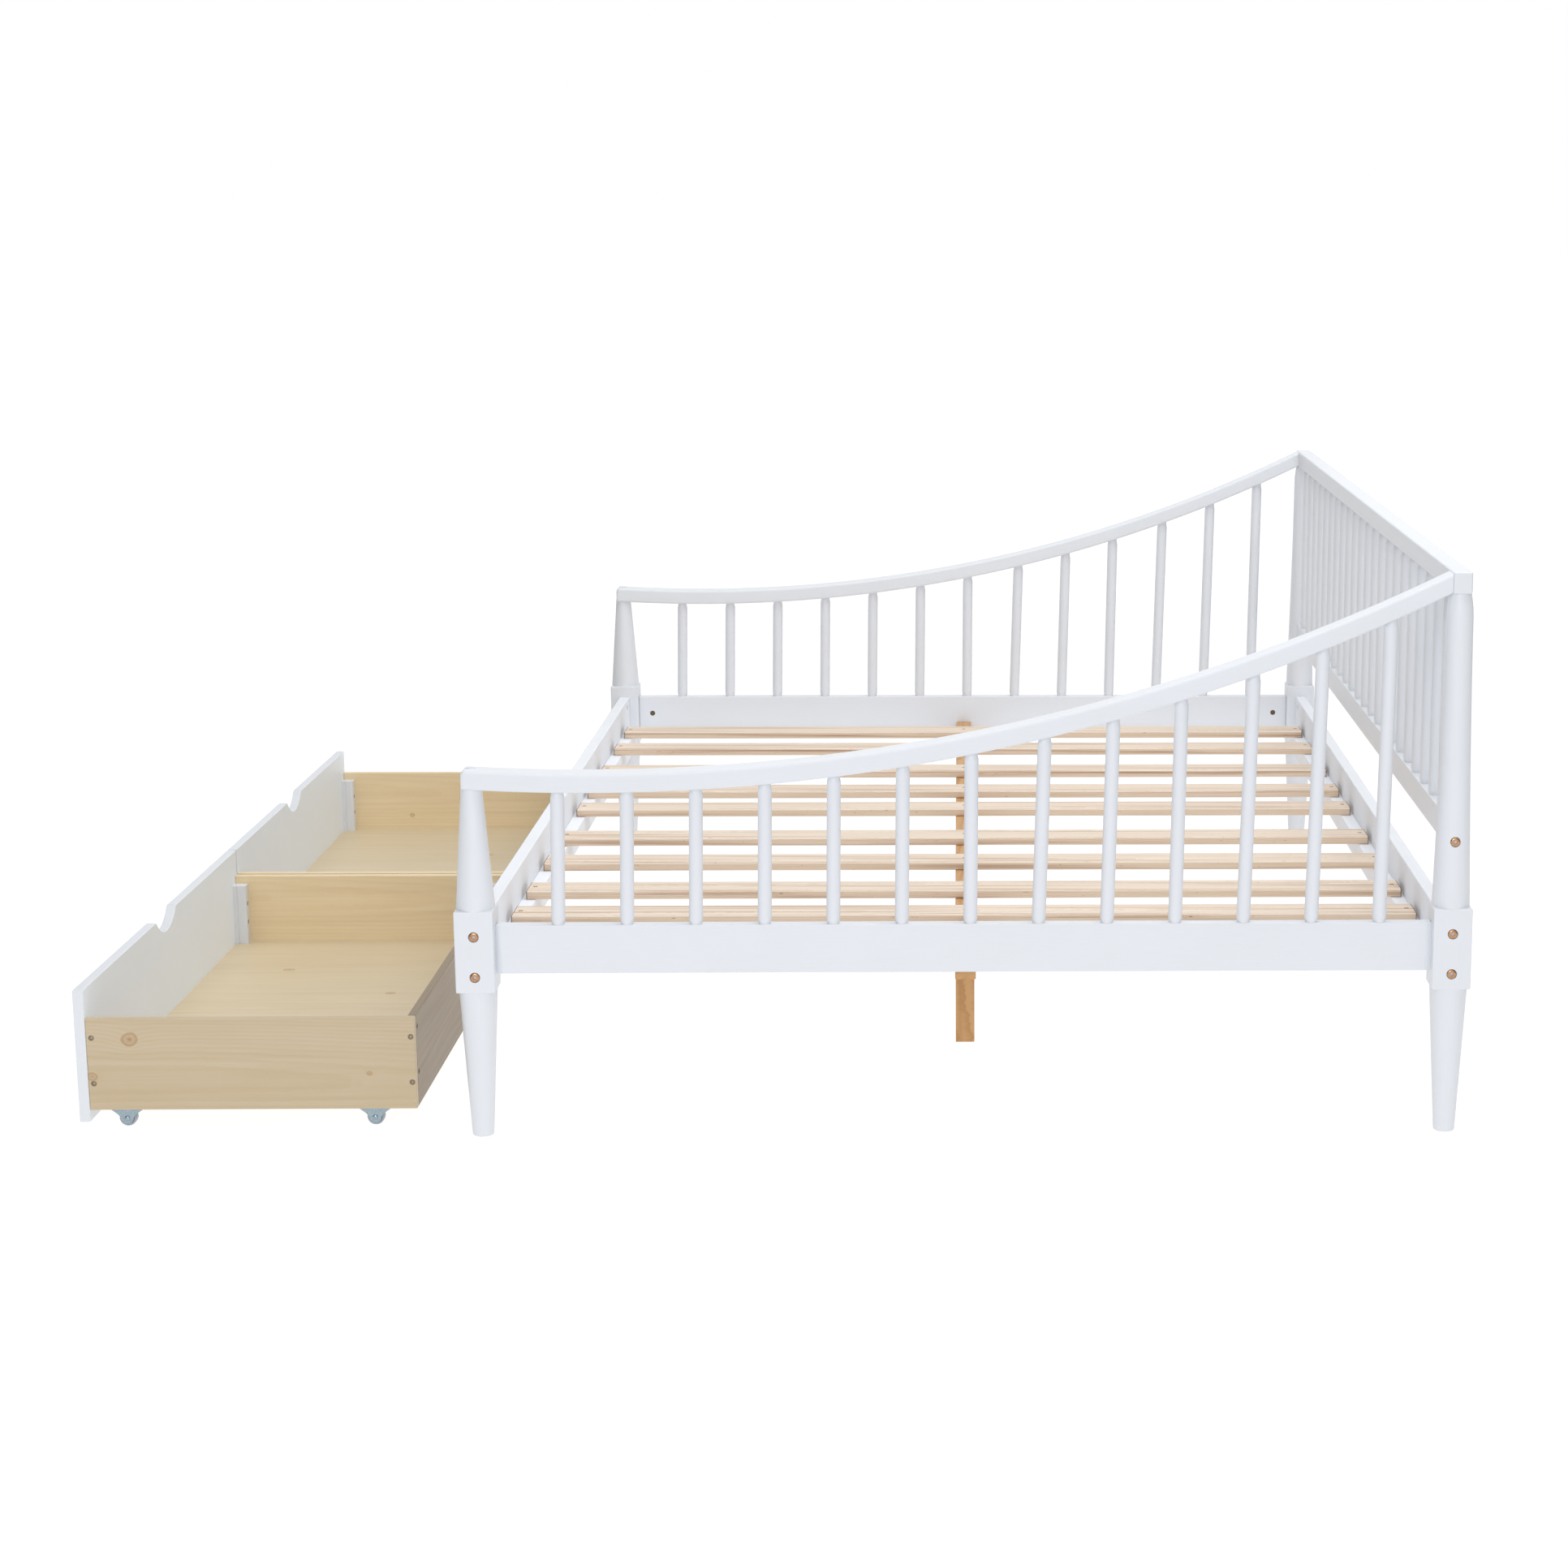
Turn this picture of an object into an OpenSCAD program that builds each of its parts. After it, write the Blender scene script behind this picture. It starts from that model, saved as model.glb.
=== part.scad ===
// Wooden daybed frame: turned posts, curved spindle ends, a spindle back, a slatted base
// and two wheeled drawers that stand pulled out in front of the bed.
// Millimetres. X runs along the bed, Y from the open front (-Y) to the back (+Y), Z is up.
// The origin is on the floor, midway between the four posts.

/* [Overall] */
// Spacing of the post centres along the bed
span_x = 1924; // [1900:1:1950]
// Spacing of the post centres across the bed
span_y = 1403; // [1395:1:1420]

/* [Posts] */
// Side of the square block on each post
block_w = 56; // [54:1:60]
// Height of the block's underside
block_z0 = 219; // [214:1:224]
// Height of the block's top
block_z1 = 339; // [332:1:346]
// Rounding of the block's upright edges
block_r = 3; // [1:0.5:6]
// Diameter of each leg at the floor
foot_d = 31; // [26:1:36]
// Diameter of the turned shaft where it meets the block
shaft_d = 55; // [50:0.5:55.5]
// Diameter of a front post at its top
front_top_d = 30; // [24:1:34]
// Diameter of a back post near its top
back_top_d = 38.4; // [36:0.1:42]

/* [Side rails and base] */
// Thickness of the straight rails
rail_t = 20; // [18:1:22]
// Height of the side rails' lower edge
side_rail_z0 = 227; // [224:1:230]
// Height of the side rails' upper edge
side_rail_z1 = 317; // [312:1:322]
// Width of the ledgers that carry the slats
ledger_w = 22; // [18:1:26]
// Length of the ledgers
ledger_l = 1740; // [1700:1:1760]
// Thickness of a slat
slat_t = 13.5; // [10:0.5:18]
// Width of a slat
slat_w = 64; // [50:1:70]
// Height of the slats' upper face
slat_top = 275; // [272:0.5:280]
// Width of the centre beam and its legs
beam_w = 30; // [24:1:40]

/* [End panels] */
// Height of an end rail's lower edge
end_rail_z0 = 243.5; // [240:0.5:248]
// Height of an end rail's upper edge
end_rail_z1 = 315; // [310:0.5:320]
// Spacing of the end spindles
end_pitch = 98.5; // [96:0.5:99]
// Radius of the curved top rails
arc_r = 2785; // [2700:5:2900]
// Place across the bed where the top rails are lowest
arc_y = -540; // [-560:5:-520]
// Height of the top rails' underside at their lowest place
arc_z = 509.5; // [505:0.5:515]
// Upright thickness of the curved top rails
top_rail_h = 28; // [26:0.5:30]
// Width of the curved top rails
top_rail_w = 40; // [36:1:44]

/* [Back panel] */
// Height of the back top rail's underside
back_rail_z0 = 794; // [790:1:798]
// Height of the back top rail's upper face
back_rail_z1 = 825; // [822:1:830]
// Depth of the back top rail
back_rail_d = 28; // [26:1:32]
// Height of the back lower rail's lower edge
lower_rail_z0 = 426; // [420:1:430]
// Height of the back lower rail's upper edge
lower_rail_z1 = 468; // [462:1:474]
// Number of back spindles
back_spindles_n = 22; // [18:1:24]

/* [Spindles] */
// Diameter of a spindle at its ends
spindle_end_d = 17.4; // [15:0.1:18]
// Diameter of a spindle along its middle
spindle_mid_d = 20; // [18:0.1:22]
// Length over which a spindle's ends swell
spindle_swell = 8; // [6:1:40]

/* [Drawers] */
// Length of a drawer front
drawer_l = 918; // [900:1:920]
// Gap between the two drawer fronts
drawer_gap = 4; // [3:1:8]
// Place of the outer face of the drawer fronts, pulled out
drawer_y = -1294; // [-1300:1:-1250]
// Depth of a drawer from front to back, outside
drawer_d = 491; // [480:1:500]
// Height of a drawer front's upper edge
front_z1 = 208; // [200:1:212]
// Height of a drawer front's lower edge
front_z0 = 9; // [8:1:16]
// Thickness of a drawer front
front_t = 15; // [12:1:18]
// Thickness of the drawer's sides and back
box_t = 12; // [10:1:15]
// Height of the drawer sides' upper edge
box_z1 = 165; // [160:1:170]
// Height of the drawer sides' lower edge
box_z0 = 26.6; // [26.6:0.1:30]
// Length of the finger notch, a shallow arc in a drawer front's upper edge
notch_l = 118; // [100:1:140]
// Depth of the finger notch
notch_depth = 27; // [20:1:35]
// Radius of a wheel
wheel_r = 12.5; // [12:0.1:12.5]
// Width of a wheel
wheel_w = 13; // [11:0.5:14]

/* [Hidden] */
$fn = 48;
// Fit of pins, dowels and screws in their holes
gap = 0.1;
// Small overrun that lets a cut pass cleanly through a face
cut = 1;

end_x = span_x / 2;
end_y = span_y / 2;
post_in_x = end_x - block_w / 2;
post_in_y = end_y - block_w / 2;

// Fasteners
bolt_r = 3;
bolt_hole_r = 3.5;
head_r = 7;
head_hole_r = 7.3;
head_h = 2.8;
head_sunk = 2;
socket_r = 2.5;
nut_r = 5;
nut_l = 14;
nut_sunk = 0.5;
nut_depth = 15;
side_bolt_z = [302, 242.5];
end_bolt_z = 280;
lower_bolt_z = 437;
side_nut_inset = 40;
end_nut_inset = 27.5;
lower_nut_inset = 30;
dowel_r = 4;
dowel_l = 36;
end_dowel_z = [262, 298];
side_dowel_z = 272;
lower_dowel_z = 457;
top_dowel_z = 805;
top_dowel_x = 12;
beam_dowel_z = 252;
beam_dowel_x = end_x - rail_t / 2 - 4;
beam_dowel_sunk = 14;
chamfer_w = 9;
chamfer_d = 2.5;
// The back lower rail is let into the round back posts, which are flattened for its bolt
lower_rail_let_in = 18;
lower_bolt_seat = 22.5;
lower_rail_end = end_x - lower_rail_let_in;
lower_bolt_face = end_x + lower_bolt_seat;

// Wood screws: [diameter, length, head diameter]
slat_screw = [4, 32, 7.6];
frame_screw = [6, 68, 11];
drawer_screw = [4, 28, 7.6];
caster_screw = [2.5, 10, 5];
plug_r = 7;
plug_t = 5;

// Curved top rails run from just ahead of the front posts to the back top rail
top_rail_y0 = -end_y - 12.5;
top_rail_y1 = end_y - back_rail_d / 2;
arc_fn = 720;

// End spindles, from front to back: how far each leans to the back, in degrees
end_lean = [1.1, 1.1, 1, 0.9, 0.8, 0.7, 0.5, 1.7, 1.4, 1, 1.5, 1.3, 0.9];
end_row_y = 7;
tenon_r = 6;
tenon_l = 12;
socket_l = 10;

// Centres of the slats along the bed
slat_x = [724, 567, 373, 189, -45, -202, -391, -615, -794];
slat_l = 1370;
slat_screw_y = [-674, 0, 675];
leg_x = [490, 0, -490];

beam_z1 = slat_top - slat_t;
ledger_y = end_y - rail_t / 2 - ledger_w;

// Drawers
notch_r = (notch_l * notch_l / 4 + notch_depth * notch_depth) / (2 * notch_depth);
side_recess = 2;
in_x0 = side_recess + box_t;
in_x1 = drawer_l - in_x0;
front_in_y = drawer_y + front_t;
back_out_y = drawer_y + drawer_d;
back_in_y = back_out_y - box_t;
floor_z0 = 41;
floor_z1 = 47;
groove = 4;
corner_w = 20;
corner_d = 22;
corner_z1 = box_z1 - 14;
side_screw_z = [136, 67];
back_screw_z = [146, 77];
front_screw_z = [118, 85];
side_screw_inset = 8;
caster_x = 16;
caster_y = [drawer_y + 67, drawer_y + 428];
plate_l = 46;
plate_t = 1.1;
plate_screw = [4.8, 17.5];
cheek_t = 1.5;
cheek_gap = 1;
lobe_r = 9;
shoulder_w = 12.3;
axle_r = 2.5;
wheel_bore_r = 2.55;

drawers = ["right", "left"];
drawers_mid_x = 6;
drawer_x0 = [drawers_mid_x + drawer_gap / 2, drawers_mid_x - drawer_gap / 2 - drawer_l];
ends = ["right", "left"];
end_sign = [1, -1];

// Rotation that turns +Z to a way along X, Y or Z
function turn_to(way) = [way.z < 0 ? 180 : -90 * way.y, 90 * way.x, 0];
function under_z(y) = arc_z + arc_r - sqrt(arc_r * arc_r - (y - arc_y) * (y - arc_y));
function spindle_y(i) = end_row_y + (i - (len(end_lean) - 1) / 2) * end_pitch;
function spindle_rise(i) = under_z(spindle_y(i)) - end_rail_z1;
function spindle_len(i) =
    (under_z(spindle_y(i) + spindle_rise(i) * tan(end_lean[i])) - end_rail_z1) / cos(end_lean[i]);
function back_r(z) =
    (back_top_d + (shaft_d - back_top_d)
    * pow((back_taper_z - z) / (back_taper_z - block_z1), 1.6)) / 2;

// Top of a back post: [radius, distance below the back top rail]
back_neck = [[17.8, 18], [15.5, 0]];
back_taper_z = back_rail_z0 - 34;
back_steps = 10;

// ---------- shared shapes ----------

// Flat rectangle with rounded corners, centred
module rounded_rect(w, h, r) {
    square([w - 2 * r, h], center = true);
    square([w, h - 2 * r], center = true);
    for (x = [-1, 1])
        for (y = [-1, 1])
            translate([x * (w / 2 - r), y * (h / 2 - r)])
                circle(r);
}

// Board between two corners
module board(low, high) {
    translate(low)
        cube(high - low);
}

// Straight bar along X with its long edges rounded
module bar_x(half_l, y, z0, z1, d, r) {
    translate([-half_l, y, (z0 + z1) / 2])
        rotate([90, 0, 90])
            linear_extrude(2 * half_l)
                rounded_rect(d, z1 - z0, r);
}

// Rod along X, Y or Z that starts at a point and runs the given way
module rod(start, way, r, l) {
    translate(start)
        rotate(turn_to(way))
            cylinder(r = r, h = l);
}

// Countersunk wood screw: its head is flush with the start point
module screw(start, way, size) {
    head = size[2] / 2;
    translate(start)
        rotate(turn_to(way))
            rotate_extrude()
                polygon([[0, 0.2], [head, 0.2], [head, 0.6], [size[0] / 2, 0.6 + head - size[0] / 2],
                    [size[0] / 2, size[1] - size[0] / 2], [0, size[1]]]);
}

// Hole that a countersunk screw sits in
module screw_hole(start, way, size) {
    head = size[2] / 2 + gap;
    neck = size[0] / 2 + gap;
    translate(start)
        rotate(turn_to(way))
            rotate_extrude()
                polygon([[0, -cut], [head, -cut], [head, 0.7], [neck, 0.7 + head - neck],
                    [neck, size[1] + gap], [0, size[1] + gap]]);
}

// Everything inside is built for the front right corner facing outwards, then put at a post
module at_post(sx, sy) {
    translate([sx * end_x, sy * end_y, 0])
        mirror([sx < 0 ? 1 : 0, 0, 0])
            mirror([0, sy < 0 ? 1 : 0, 0])
                children();
}

// ---------- posts ----------

module leg_and_block() {
    rotate_extrude($fn = 72)
        polygon([[0, 0], [foot_d / 2 - 2.5, 0], [foot_d / 2 - 0.7, 0.7], [foot_d / 2, 2.5],
            [shaft_d / 2, block_z0 + 1], [0, block_z0 + 1]]);
    translate([0, 0, block_z0])
        linear_extrude(block_z1 - block_z0)
            rounded_rect(block_w, block_w, block_r);
}

module front_shaft() {
    rotate_extrude($fn = 72)
        polygon([[0, block_z1 - 1], [shaft_d / 2, block_z1 - 1], [shaft_d / 2, block_z1 + 4],
            [front_top_d / 2, arc_z + 3], [front_top_d / 2, arc_z + 20], [0, arc_z + 20]]);
}

module back_shaft() {
    rotate_extrude($fn = 72)
        polygon(concat([[0, block_z1 - 1], [shaft_d / 2, block_z1 - 1]],
            [for (i = [0:back_steps])
                let (z = block_z1 + (back_taper_z - block_z1) * i / back_steps) [back_r(z), z]],
            [for (n = back_neck) [n[0], back_rail_z0 - n[1]]], [[0, back_rail_z0]]));
}

// Holes in a post's block for the bolts and dowels, seen from the outward corner
module block_holes() {
    for (z = side_bolt_z) {
        rod([-block_w, 0, z], [1, 0, 0], bolt_hole_r, 2 * block_w);
        rod([block_w / 2 - head_sunk, 0, z], [1, 0, 0], head_hole_r, head_sunk + cut);
    }
    rod([0, -block_w, end_bolt_z], [0, 1, 0], bolt_hole_r, 2 * block_w);
    rod([0, block_w / 2 - head_sunk, end_bolt_z], [0, 1, 0], head_hole_r, head_sunk + cut);
    for (z = end_dowel_z)
        rod([0, -block_w / 2 - cut, z], [0, 1, 0], dowel_r + gap, dowel_l / 2 + gap + cut);
    rod([-block_w / 2 - cut, 0, side_dowel_z], [1, 0, 0], dowel_r + gap, dowel_l / 2 + gap + cut);
}

module front_post(sx) {
    color("whitesmoke")
        difference() {
            at_post(sx, -1)
                difference() {
                    union() {
                        leg_and_block();
                        front_shaft();
                    }
                    block_holes();
                    rod([0, 0, arc_z - 60], [0, 0, 1], frame_screw[0] / 2 + gap, 100);
                }
            top_rail_blank(sx, -end_y - block_w);
        }
}

module back_post(sx) {
    color("whitesmoke")
        difference() {
            at_post(sx, 1)
                difference() {
                    union() {
                        leg_and_block();
                        back_shaft();
                    }
                    block_holes();
                    rod([-block_w, 0, lower_bolt_z], [1, 0, 0], bolt_hole_r, 2 * block_w);
                    rod([lower_bolt_face - end_x, 0, lower_bolt_z], [1, 0, 0], head_hole_r, 20);
                    board([-block_w, -rail_t / 2, lower_rail_z0], [-18, rail_t / 2, lower_rail_z1]);
                    rod([-19, 0, lower_dowel_z], [1, 0, 0], dowel_r + gap, dowel_l / 2 + gap + 1);
                    rod([0, 0, back_rail_z0 - dowel_l / 2 - gap], [0, 0, 1], dowel_r + gap, dowel_l);
                }
            top_rail_blank(sx);
        }
}

// ---------- end panels ----------

// Curved top rail before it is drilled: the space between two arcs one rail height apart, from y = front
module top_rail_blank(sx, front = top_rail_y0) {
    translate([sx * end_x - top_rail_w / 2, 0, 0])
        rotate([90, 0, 90])
            linear_extrude(top_rail_w)
                intersection() {
                    translate([front, arc_z - 20])
                        square([top_rail_y1 - front, arc_r / 4]);
                    difference() {
                        translate([arc_y, arc_z + arc_r])
                            circle(arc_r, $fn = arc_fn);
                        translate([arc_y, arc_z + arc_r + top_rail_h])
                            circle(arc_r, $fn = arc_fn);
                    }
                }
}

// Puts its children at the foot of an end spindle, leaning with it
module at_end_spindle(sx, i) {
    translate([sx * end_x, spindle_y(i), end_rail_z1])
        rotate([-end_lean[i], 0, 0])
            children();
}

module end_top_rail(sx) {
    plug_z = under_z(-end_y) + top_rail_h;
    color("white")
        difference() {
            top_rail_blank(sx);
            for (i = [0:len(end_lean) - 1])
                at_end_spindle(sx, i)
                    translate([0, 0, spindle_len(i) - 15])
                        cylinder(r = spindle_end_d / 2 + gap, h = 15 + socket_l + gap);
            rod([sx * end_x, -end_y, plug_z - plug_t - 1], [0, 0, 1], plug_r + gap, 20);
            screw_hole([sx * end_x, -end_y, plug_z - plug_t - 1], [0, 0, -1], frame_screw);
            for (x = [-top_dowel_x, top_dowel_x])
                rod([sx * end_x + x, top_rail_y1 + cut, top_dowel_z], [0, -1, 0], dowel_r + gap,
                    dowel_l / 2 + gap + cut);
        }
}

// Wide chamfer at each end of an end rail's outer face
module end_rail_chamfers(sx) {
    for (sy = [0, 1])
        mirror([sx < 0 ? 1 : 0, 0, 0])
            mirror([0, sy, 0])
                translate([end_x + rail_t / 2, post_in_y, end_rail_z0 - cut])
                    linear_extrude(end_rail_z1 - end_rail_z0 + 2 * cut)
                        polygon([[-chamfer_d, cut], [-chamfer_d, 0], [0, -chamfer_w], [cut, -chamfer_w],
                            [cut, cut]]);
}

module end_rail(sx) {
    color("white")
        difference() {
            translate([sx * end_x, -post_in_y, (end_rail_z0 + end_rail_z1) / 2])
                rotate([-90, 0, 0])
                    linear_extrude(2 * post_in_y)
                        rounded_rect(rail_t, end_rail_z1 - end_rail_z0, 2);
            for (i = [0:len(end_lean) - 1])
                at_end_spindle(sx, i)
                    translate([0, 0, -tenon_l - gap])
                        cylinder(r = tenon_r + gap, h = tenon_l + 5);
            for (sy = [-1, 1]) {
                rod([sx * end_x, sy * (post_in_y + cut), end_bolt_z], [0, -sy, 0], bolt_hole_r,
                    end_nut_inset + 12);
                rod([sx * (end_x - rail_t / 2 - cut), sy * (post_in_y - end_nut_inset), end_bolt_z],
                    [sx, 0, 0], nut_r + gap, nut_depth + cut);
                for (z = end_dowel_z)
                    rod([sx * end_x, sy * (post_in_y + cut), z], [0, -sy, 0], dowel_r + gap,
                        dowel_l / 2 + gap + cut);
            }
            rod([sx * (end_x - rail_t / 2 - cut), 0, beam_dowel_z], [sx, 0, 0], dowel_r + gap,
                beam_dowel_sunk + gap + cut);
            end_rail_chamfers(sx);
        }
}

// Turned spindle standing on z = 0: tenon below, plain end let into the rail above
module spindle_body(l) {
    rotate_extrude($fn = 36)
        polygon([[0, -1], [spindle_end_d / 2, -1], [spindle_end_d / 2, 0],
            [spindle_mid_d / 2, spindle_swell], [spindle_mid_d / 2, l - spindle_swell - 5],
            [spindle_end_d / 2, l - 5], [spindle_end_d / 2, l + socket_l], [0, l + socket_l]]);
}

module tenon() {
    translate([0, 0, -tenon_l])
        cylinder(r = tenon_r, h = tenon_l + 2);
}

module end_spindles(sx) {
    color("white")
        for (i = [0:len(end_lean) - 1]) {
            intersection() {
                at_end_spindle(sx, i)
                    spindle_body(spindle_len(i));
                translate([sx * end_x - 40, spindle_y(i) - 40, end_rail_z1])
                    cube([80, 80, 600]);
            }
            at_end_spindle(sx, i)
                tenon();
        }
}

// ---------- back panel ----------

function back_spindle_x(i) = -end_x + span_x * i / (back_spindles_n + 1);

module back_top_rail() {
    color("white")
        difference() {
            bar_x(end_x + top_rail_w / 2, end_y, back_rail_z0, back_rail_z1, back_rail_d, 2.5);
            for (i = [1:back_spindles_n])
                translate([back_spindle_x(i), end_y, back_rail_z0 - cut])
                    cylinder(r = spindle_end_d / 2 + gap, h = socket_l + gap + cut);
            for (sx = end_sign) {
                rod([sx * end_x, end_y, back_rail_z0 - cut], [0, 0, 1], dowel_r + gap,
                    dowel_l / 2 + gap + cut);
                for (x = [-top_dowel_x, top_dowel_x])
                    rod([sx * end_x + x, top_rail_y1 - cut, top_dowel_z], [0, 1, 0],
                        dowel_r + gap, dowel_l / 2 + gap + cut);
            }
        }
}

module back_lower_rail() {
    color("white")
        difference() {
            bar_x(lower_rail_end, end_y, lower_rail_z0, lower_rail_z1, rail_t, 2);
            for (i = [1:back_spindles_n])
                translate([back_spindle_x(i), end_y, lower_rail_z1 - tenon_l - gap])
                    cylinder(r = tenon_r + gap, h = tenon_l + 5);
            for (sx = end_sign) {
                rod([sx * (lower_rail_end + cut), end_y, lower_bolt_z], [-sx, 0, 0], bolt_hole_r,
                    lower_nut_inset + 12);
                rod([sx * (lower_rail_end - lower_nut_inset), end_y + rail_t / 2 + cut, lower_bolt_z],
                    [0, -1, 0], nut_r + gap, nut_depth + cut);
                rod([sx * (lower_rail_end + cut), end_y, lower_dowel_z], [-sx, 0, 0], dowel_r + gap,
                    dowel_l / 2 + gap + cut);
            }
        }
}

module back_spindles() {
    color("white")
        for (i = [1:back_spindles_n])
            translate([back_spindle_x(i), end_y, lower_rail_z1]) {
                difference() {
                    spindle_body(back_rail_z0 - lower_rail_z1);
                    translate([-20, -20, -20])
                        cube([40, 40, 20]);
                }
                tenon();
            }
}

// ---------- side rails, slats and centre support ----------

module side_rail(sy) {
    color("white")
        difference() {
            bar_x(post_in_x, sy * end_y, side_rail_z0, side_rail_z1, rail_t, 2);
            for (sx = end_sign) {
                for (z = side_bolt_z) {
                    rod([sx * (post_in_x + cut), sy * end_y, z], [-sx, 0, 0], bolt_hole_r,
                        side_nut_inset + 12);
                    rod([sx * (post_in_x - side_nut_inset), sy * (end_y - rail_t / 2 - cut), z],
                        [0, sy, 0], nut_r + gap, nut_depth + cut);
                }
                rod([sx * (post_in_x + cut), sy * end_y, side_dowel_z], [-sx, 0, 0],
                    dowel_r + gap, dowel_l / 2 + gap + cut);
            }
        }
}

module ledger(sy) {
    color("white")
        difference() {
            bar_x(ledger_l / 2, sy * (ledger_y + ledger_w / 2), side_rail_z0, beam_z1, ledger_w, 1);
            for (x = slat_x)
                screw_hole([x, slat_screw_y[sy < 0 ? 0 : 2], slat_top], [0, 0, -1], slat_screw);
        }
}

module slat(i) {
    color("burlywood")
        difference() {
            translate([slat_x[i - 1], -slat_l / 2 + 1, slat_top - slat_t / 2])
                rotate([-90, 0, 0])
                    linear_extrude(slat_l)
                        rounded_rect(slat_w, slat_t, 2);
            for (y = slat_screw_y)
                screw_hole([slat_x[i - 1], y, slat_top], [0, 0, -1], slat_screw);
        }
}

module slat_screws() {
    color("dimgray")
        for (x = slat_x)
            for (y = slat_screw_y)
                screw([x, y, slat_top], [0, 0, -1], slat_screw);
}

module centre_beam() {
    color("peru")
        difference() {
            bar_x(end_x - rail_t / 2, 0, side_rail_z0, beam_z1, beam_w, 1.5);
            for (x = slat_x)
                screw_hole([x, 0, slat_top], [0, 0, -1], slat_screw);
            for (x = leg_x)
                screw_hole([x, 0, beam_z1], [0, 0, -1], frame_screw);
            for (sx = end_sign)
                rod([sx * (end_x - rail_t / 2 + cut), 0, beam_dowel_z], [-sx, 0, 0], dowel_r + gap,
                    22 + gap + cut);
        }
}

module centre_legs() {
    color("peru")
        for (x = leg_x)
            difference() {
                translate([x, 0, 0])
                    linear_extrude(side_rail_z0)
                        rounded_rect(beam_w, beam_w, 1.5);
                screw_hole([x, 0, beam_z1], [0, 0, -1], frame_screw);
            }
}

// ---------- frame fasteners ----------

// Connector bolt with a flat head and hexagon socket; its start is the head's seat
module bolt(start, way, l) {
    difference() {
        union() {
            rod(start, way, bolt_r, l);
            rod(start - head_h * way, way, head_r, head_h);
        }
        translate(start - head_h * way)
            rotate(way.x != 0 ? [0, 90, 0] : [90, 0, 0])
                cylinder(r = socket_r, h = 3.6, center = true, $fn = 6);
    }
}

// Barrel nut let into a rail's face: its thread hole meets the bolt along the rail's middle
module barrel_nut(face, way, bolt_way) {
    difference() {
        rod(face + nut_sunk * way, way, nut_r, nut_l);
        translate(face + rail_t / 2 * way)
            rotate(bolt_way.x != 0 ? [0, 90, 0] : [90, 0, 0])
                cylinder(r = bolt_r + gap, h = 4 * nut_r, center = true);
    }
}

module frame_bolts() {
    color("darkgoldenrod")
        for (sx = end_sign) {
            for (sy = [-1, 1]) {
                for (z = side_bolt_z)
                    bolt([sx * (end_x + block_w / 2 - head_sunk), sy * end_y, z], [-sx, 0, 0],
                        block_w + side_nut_inset + 7);
                bolt([sx * end_x, sy * (end_y + block_w / 2 - head_sunk), end_bolt_z], [0, -sy, 0],
                    block_w + end_nut_inset + 7);
            }
            bolt([sx * lower_bolt_face, end_y, lower_bolt_z], [-sx, 0, 0],
                lower_bolt_face - lower_rail_end + lower_nut_inset + 7);
        }
}

module barrel_nuts() {
    color("darkgoldenrod")
        for (sx = end_sign) {
            for (sy = [-1, 1]) {
                for (z = side_bolt_z)
                    barrel_nut([sx * (post_in_x - side_nut_inset), sy * (end_y - rail_t / 2), z],
                        [0, sy, 0], [1, 0, 0]);
                barrel_nut([sx * (end_x - rail_t / 2), sy * (post_in_y - end_nut_inset),
                    end_bolt_z], [sx, 0, 0], [0, 1, 0]);
            }
            barrel_nut([sx * (lower_rail_end - lower_nut_inset), end_y + rail_t / 2, lower_bolt_z],
                [0, -1, 0], [1, 0, 0]);
        }
}

module dowel(centre, way) {
    rod(centre - dowel_l / 2 * way, way, dowel_r, dowel_l);
}

module wood_dowels() {
    color("burlywood")
        for (sx = end_sign) {
            for (sy = [-1, 1]) {
                for (z = end_dowel_z)
                    dowel([sx * end_x, sy * post_in_y, z], [0, 1, 0]);
                dowel([sx * post_in_x, sy * end_y, side_dowel_z], [1, 0, 0]);
            }
            for (x = [-top_dowel_x, top_dowel_x])
                dowel([sx * end_x + x, top_rail_y1, top_dowel_z], [0, 1, 0]);
            dowel([sx * end_x, end_y, back_rail_z0], [0, 0, 1]);
            dowel([sx * lower_rail_end, end_y, lower_dowel_z], [1, 0, 0]);
            dowel([sx * beam_dowel_x, 0, beam_dowel_z], [1, 0, 0]);
        }
}

module rail_plugs() {
    plug_z = under_z(-end_y) + top_rail_h;
    color("white")
        for (sx = end_sign)
            rod([sx * end_x, -end_y, plug_z - plug_t - 0.6], [0, 0, 1], plug_r, plug_t);
}

module frame_screws() {
    plug_z = under_z(-end_y) + top_rail_h;
    color("dimgray") {
        for (sx = end_sign)
            screw([sx * end_x, -end_y, plug_z - plug_t - 1], [0, 0, -1], frame_screw);
        for (x = leg_x)
            screw([x, 0, beam_z1], [0, 0, -1], frame_screw);
    }
}

// ---------- drawers, each built with its front's left end at x = 0 ----------

// The two screw columns of a drawer, at its left and right corners
corner_x = [in_x0 + corner_w / 2, in_x1 - corner_w / 2];

// All screws of the drawer box: every entry is [start, way]
function box_screws() = concat(
    [for (z = side_screw_z) for (y = [front_in_y + side_screw_inset, back_out_y - side_screw_inset + 2])
        [[side_recess, y, z], [1, 0, 0]]],
    [for (z = side_screw_z) for (y = [front_in_y + side_screw_inset, back_out_y - side_screw_inset + 2])
        [[drawer_l - side_recess, y, z], [-1, 0, 0]]],
    [for (z = back_screw_z) for (x = corner_x) [[x, back_out_y, z], [0, -1, 0]]],
    [for (z = front_screw_z) for (x = corner_x) [[x, front_in_y + corner_d, z], [0, -1, 0]]]
);

module box_screw_holes() {
    for (s = box_screws())
        screw_hole(s[0], s[1], drawer_screw);
}

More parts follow.
